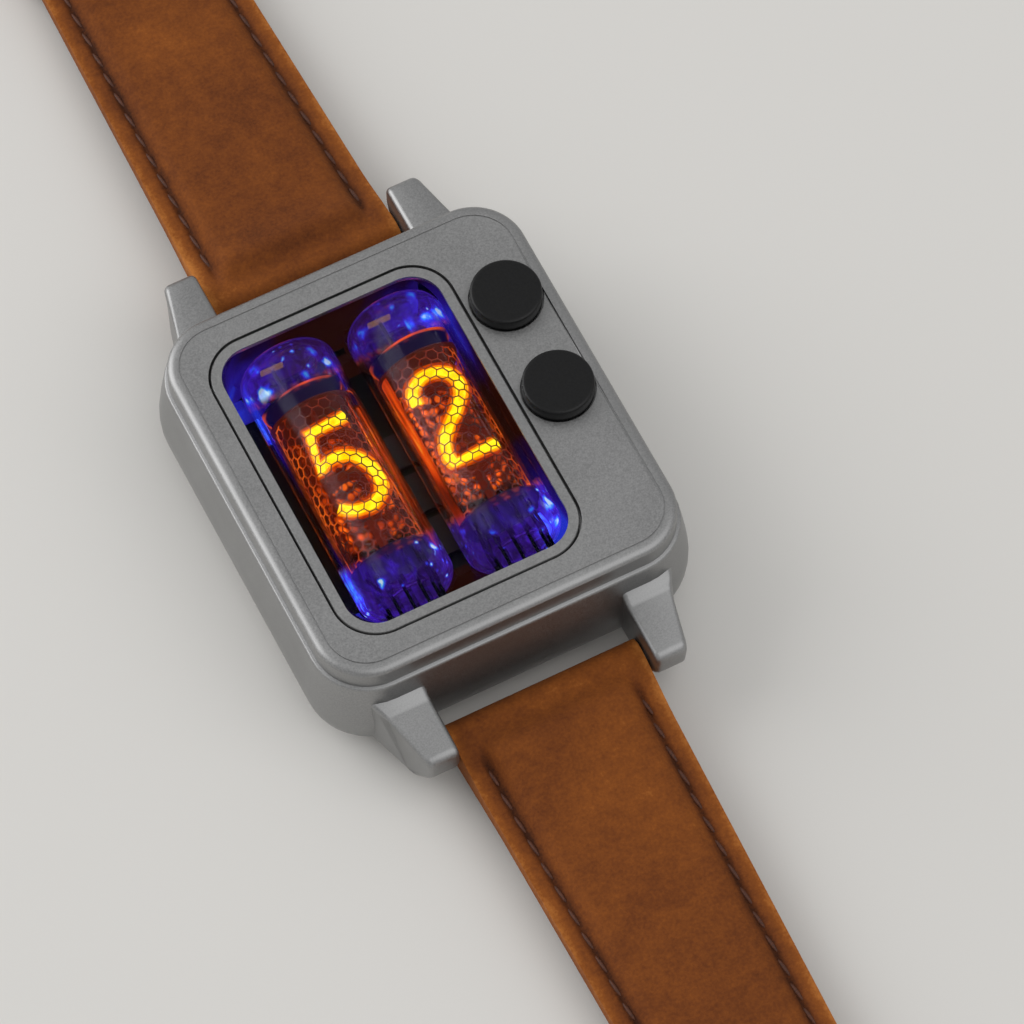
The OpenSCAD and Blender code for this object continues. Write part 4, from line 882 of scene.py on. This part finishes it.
# distances from the edge in mm at which the leather's mesh has a row of points
across = [0, 0.25, 0.6, 1.0, 1.4, 1.7, 1.95, 2.2, 2.45, 2.7, 3.0, 3.4, 3.9, 4.6, 5.6, 7.2, 9.2]
columns = 2 * len(across)
row_step, merge_mm, sliver = 0.8, 1e-4, 0.005 * MM
# the width and length of the rubbed wear, and the width of the painted shade along the seam
rub_w, rub_l, seam_shade_w = 0.8, 2.5, 0.5
notch_half, notch_l = 1.9, 7.0
hole_r, hole_pitch, holes_n, hole_end = 1.0, 6.5, 7, 21.0
stitch_step, stitch_start, stitch_turn = 3.1, 4.5, math.radians(7)
stitch_size = (0.27, 1.22, 0.22)
for side, name, length in ((1, "short", short_l), (-1, "long", long_l)):
    curl = [-nose * math.cos(math.radians(a)) for a in range(0, 90, 10)]
    rounded = length > short_l
    tail = length - tip_l if rounded else length
    rows = round(tail / row_step)
    run = [tail * i / rows for i in range(rows + 1)]
    tip = [tail + tip_l * math.sin(math.radians(a)) for a in range(4, 90, 4)] + [length - 0.02]
    stations = curl + run + (tip if rounded else [])
    leather = bmesh.new()
    bmesh.ops.create_grid(leather, x_segments=columns, y_segments=len(stations) - 1, size=1)
    worn_and_shaded = leather.verts.layers.float.new("wear_and_seam_shade")
    leather.verts.ensure_lookup_table()
    cells = {}
    for v in leather.verts:
        i = round((v.co.x + 1) / 2 * columns)
        j = round((v.co.y + 1) / 2 * (len(stations) - 1))
        cells[v] = (i, j)
    for v, (i, j) in cells.items():
        s = stations[j]
        w = half_width(s, length)
        inward = across[min(i, columns - i)] if min(i, columns - i) < len(across) else w
        full = half_width(min(s, tail), length)
        x = 0.0 if i == columns // 2 else math.copysign(full - min(inward, full), i - columns / 2) * w / full
        v.co = (x, s, strap_top(x * full / max(w, 1e-6), s, length))
        # rubbed pale along the cut edges and round the spring bar, and painted shade along the stitched
        # groove
        seam = (full - abs(x) - margin) / seam_shade_w
        v[worn_and_shaded] = math.exp(-((full - abs(x)) / rub_w) ** 2) * 0.7 + 0.25 * (1 - ease(abs(s) / rub_l))
        v[worn_and_shaded] -= 0.9 * math.exp(-seam * seam) * ease((s - 2) / 3)
    if not rounded:
        # the notch that the buckle's tongue stands in
        middles = {f: f.calc_center_median() for f in leather.faces}
        gone = [f for f, m in middles.items() if abs(m.x) < notch_half and m.y > length - notch_l]
        bmesh.ops.delete(leather, geom=gone, context="FACES")
    grown = bmesh.ops.extrude_face_region(leather, geom=leather.faces[:])["geom"]
    for v in (g for g in grown if isinstance(g, bmesh.types.BMVert)):
        v.co.z = strap_bottom(v.co.y)
        v[worn_and_shaded] = 0.1
    bmesh.ops.remove_doubles(leather, verts=leather.verts, dist=merge_mm)
    bmesh.ops.recalc_face_normals(leather, faces=leather.faces)
    for v in leather.verts:
        v.co = on_strap(side, *v.co)
    strap = place(f"strap_{name}_leather", leather, nubuck, None)
    worn_edge(strap)
    if rounded:
        punch = bmesh.new()
        first = length - hole_end - (holes_n - 1) * hole_pitch
        for i in range(holes_n):
            made = bmesh.ops.create_cone(punch, cap_ends=True, segments=24, radius1=hole_r * MM,
                                         radius2=hole_r * MM, depth=8 * MM)["verts"]
            bmesh.ops.rotate(punch, matrix=Matrix.Rotation(tilt[side], 3, "X"), verts=made)
            bmesh.ops.translate(punch, vec=on_strap(side, 0, first + i * hole_pitch, 0), verts=made)
        holes = place("strap_holes", punch, nubuck)
        cut = strap.modifiers.new("holes", "BOOLEAN")
        cut.object = holes
        cut.solver = "EXACT"
        bpy.context.view_layer.update()
        cutter = bpy.context.evaluated_depsgraph_get()
        pierced = bpy.data.meshes.new_from_object(strap.evaluated_get(cutter))
        # the cut leaves slivers round the holes, which are merged
        leather = bmesh.new()
        leather.from_mesh(pierced)
        bmesh.ops.remove_doubles(leather, verts=leather.verts, dist=sliver)
        bmesh.ops.dissolve_degenerate(leather, dist=sliver, edges=leather.edges)
        leather.to_mesh(pierced)
        leather.free()
        strap.modifiers.clear()
        strap.data = pierced
        bpy.data.objects.remove(holes)
    for face in strap.data.polygons:
        face.use_smooth = True
    if rounded:
        strap.data.set_sharp_from_angle(angle=math.radians(50))

    stitches = bmesh.new()
    last = tail if rounded else length - end_l
    for flip in (-1, 1):
        for k in range(int((last - stitch_start) / stitch_step)):
            s = stitch_start + (k + 0.5) * stitch_step
            x = flip * (half_width(s, length) - margin + 0.1)
            made = bmesh.ops.create_uvsphere(stitches, u_segments=10, v_segments=6, radius=1)["verts"]
            bmesh.ops.scale(stitches, vec=stitch_size, verts=made)
            bmesh.ops.rotate(stitches, matrix=Matrix.Rotation(stitch_turn, 3, "Z"), verts=made)
            bmesh.ops.translate(stitches, vec=(x, s, strap_top(x, s, length) + 0.06), verts=made)
    for v in stitches.verts:
        v.co = on_strap(side, *v.co)
    seam = place(f"strap_{name}_stitches", stitches, thread)
    for piece in (strap, seam):
        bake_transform(piece)
    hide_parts(f"strap_{name}_inner", f"strap_{name}_outer")


# ---- Keepers ----
# Two loops of the same leather, 6 mm wide with burnished edges: one is fixed near the buckle
# and the other slides.
for node, carrier in (("keeper_fixed", "short_strap_end"), ("keeper_sliding", "sliding_keeper")):
    worn_edge(welded_copy(node, nubuck, 40, carrier, "_leather"))


# ---- Buckle ----
# A square pin buckle of the case's blasted steel: a frame, a flat tongue and the pin they turn on.
for node, carrier in (("buckle_frame", "buckle"), ("buckle_tongue", "tongue")):
    welded_copy(node, blasted_steel, 35, carrier)
finish_nodes(turned_steel, "buckle_pin")
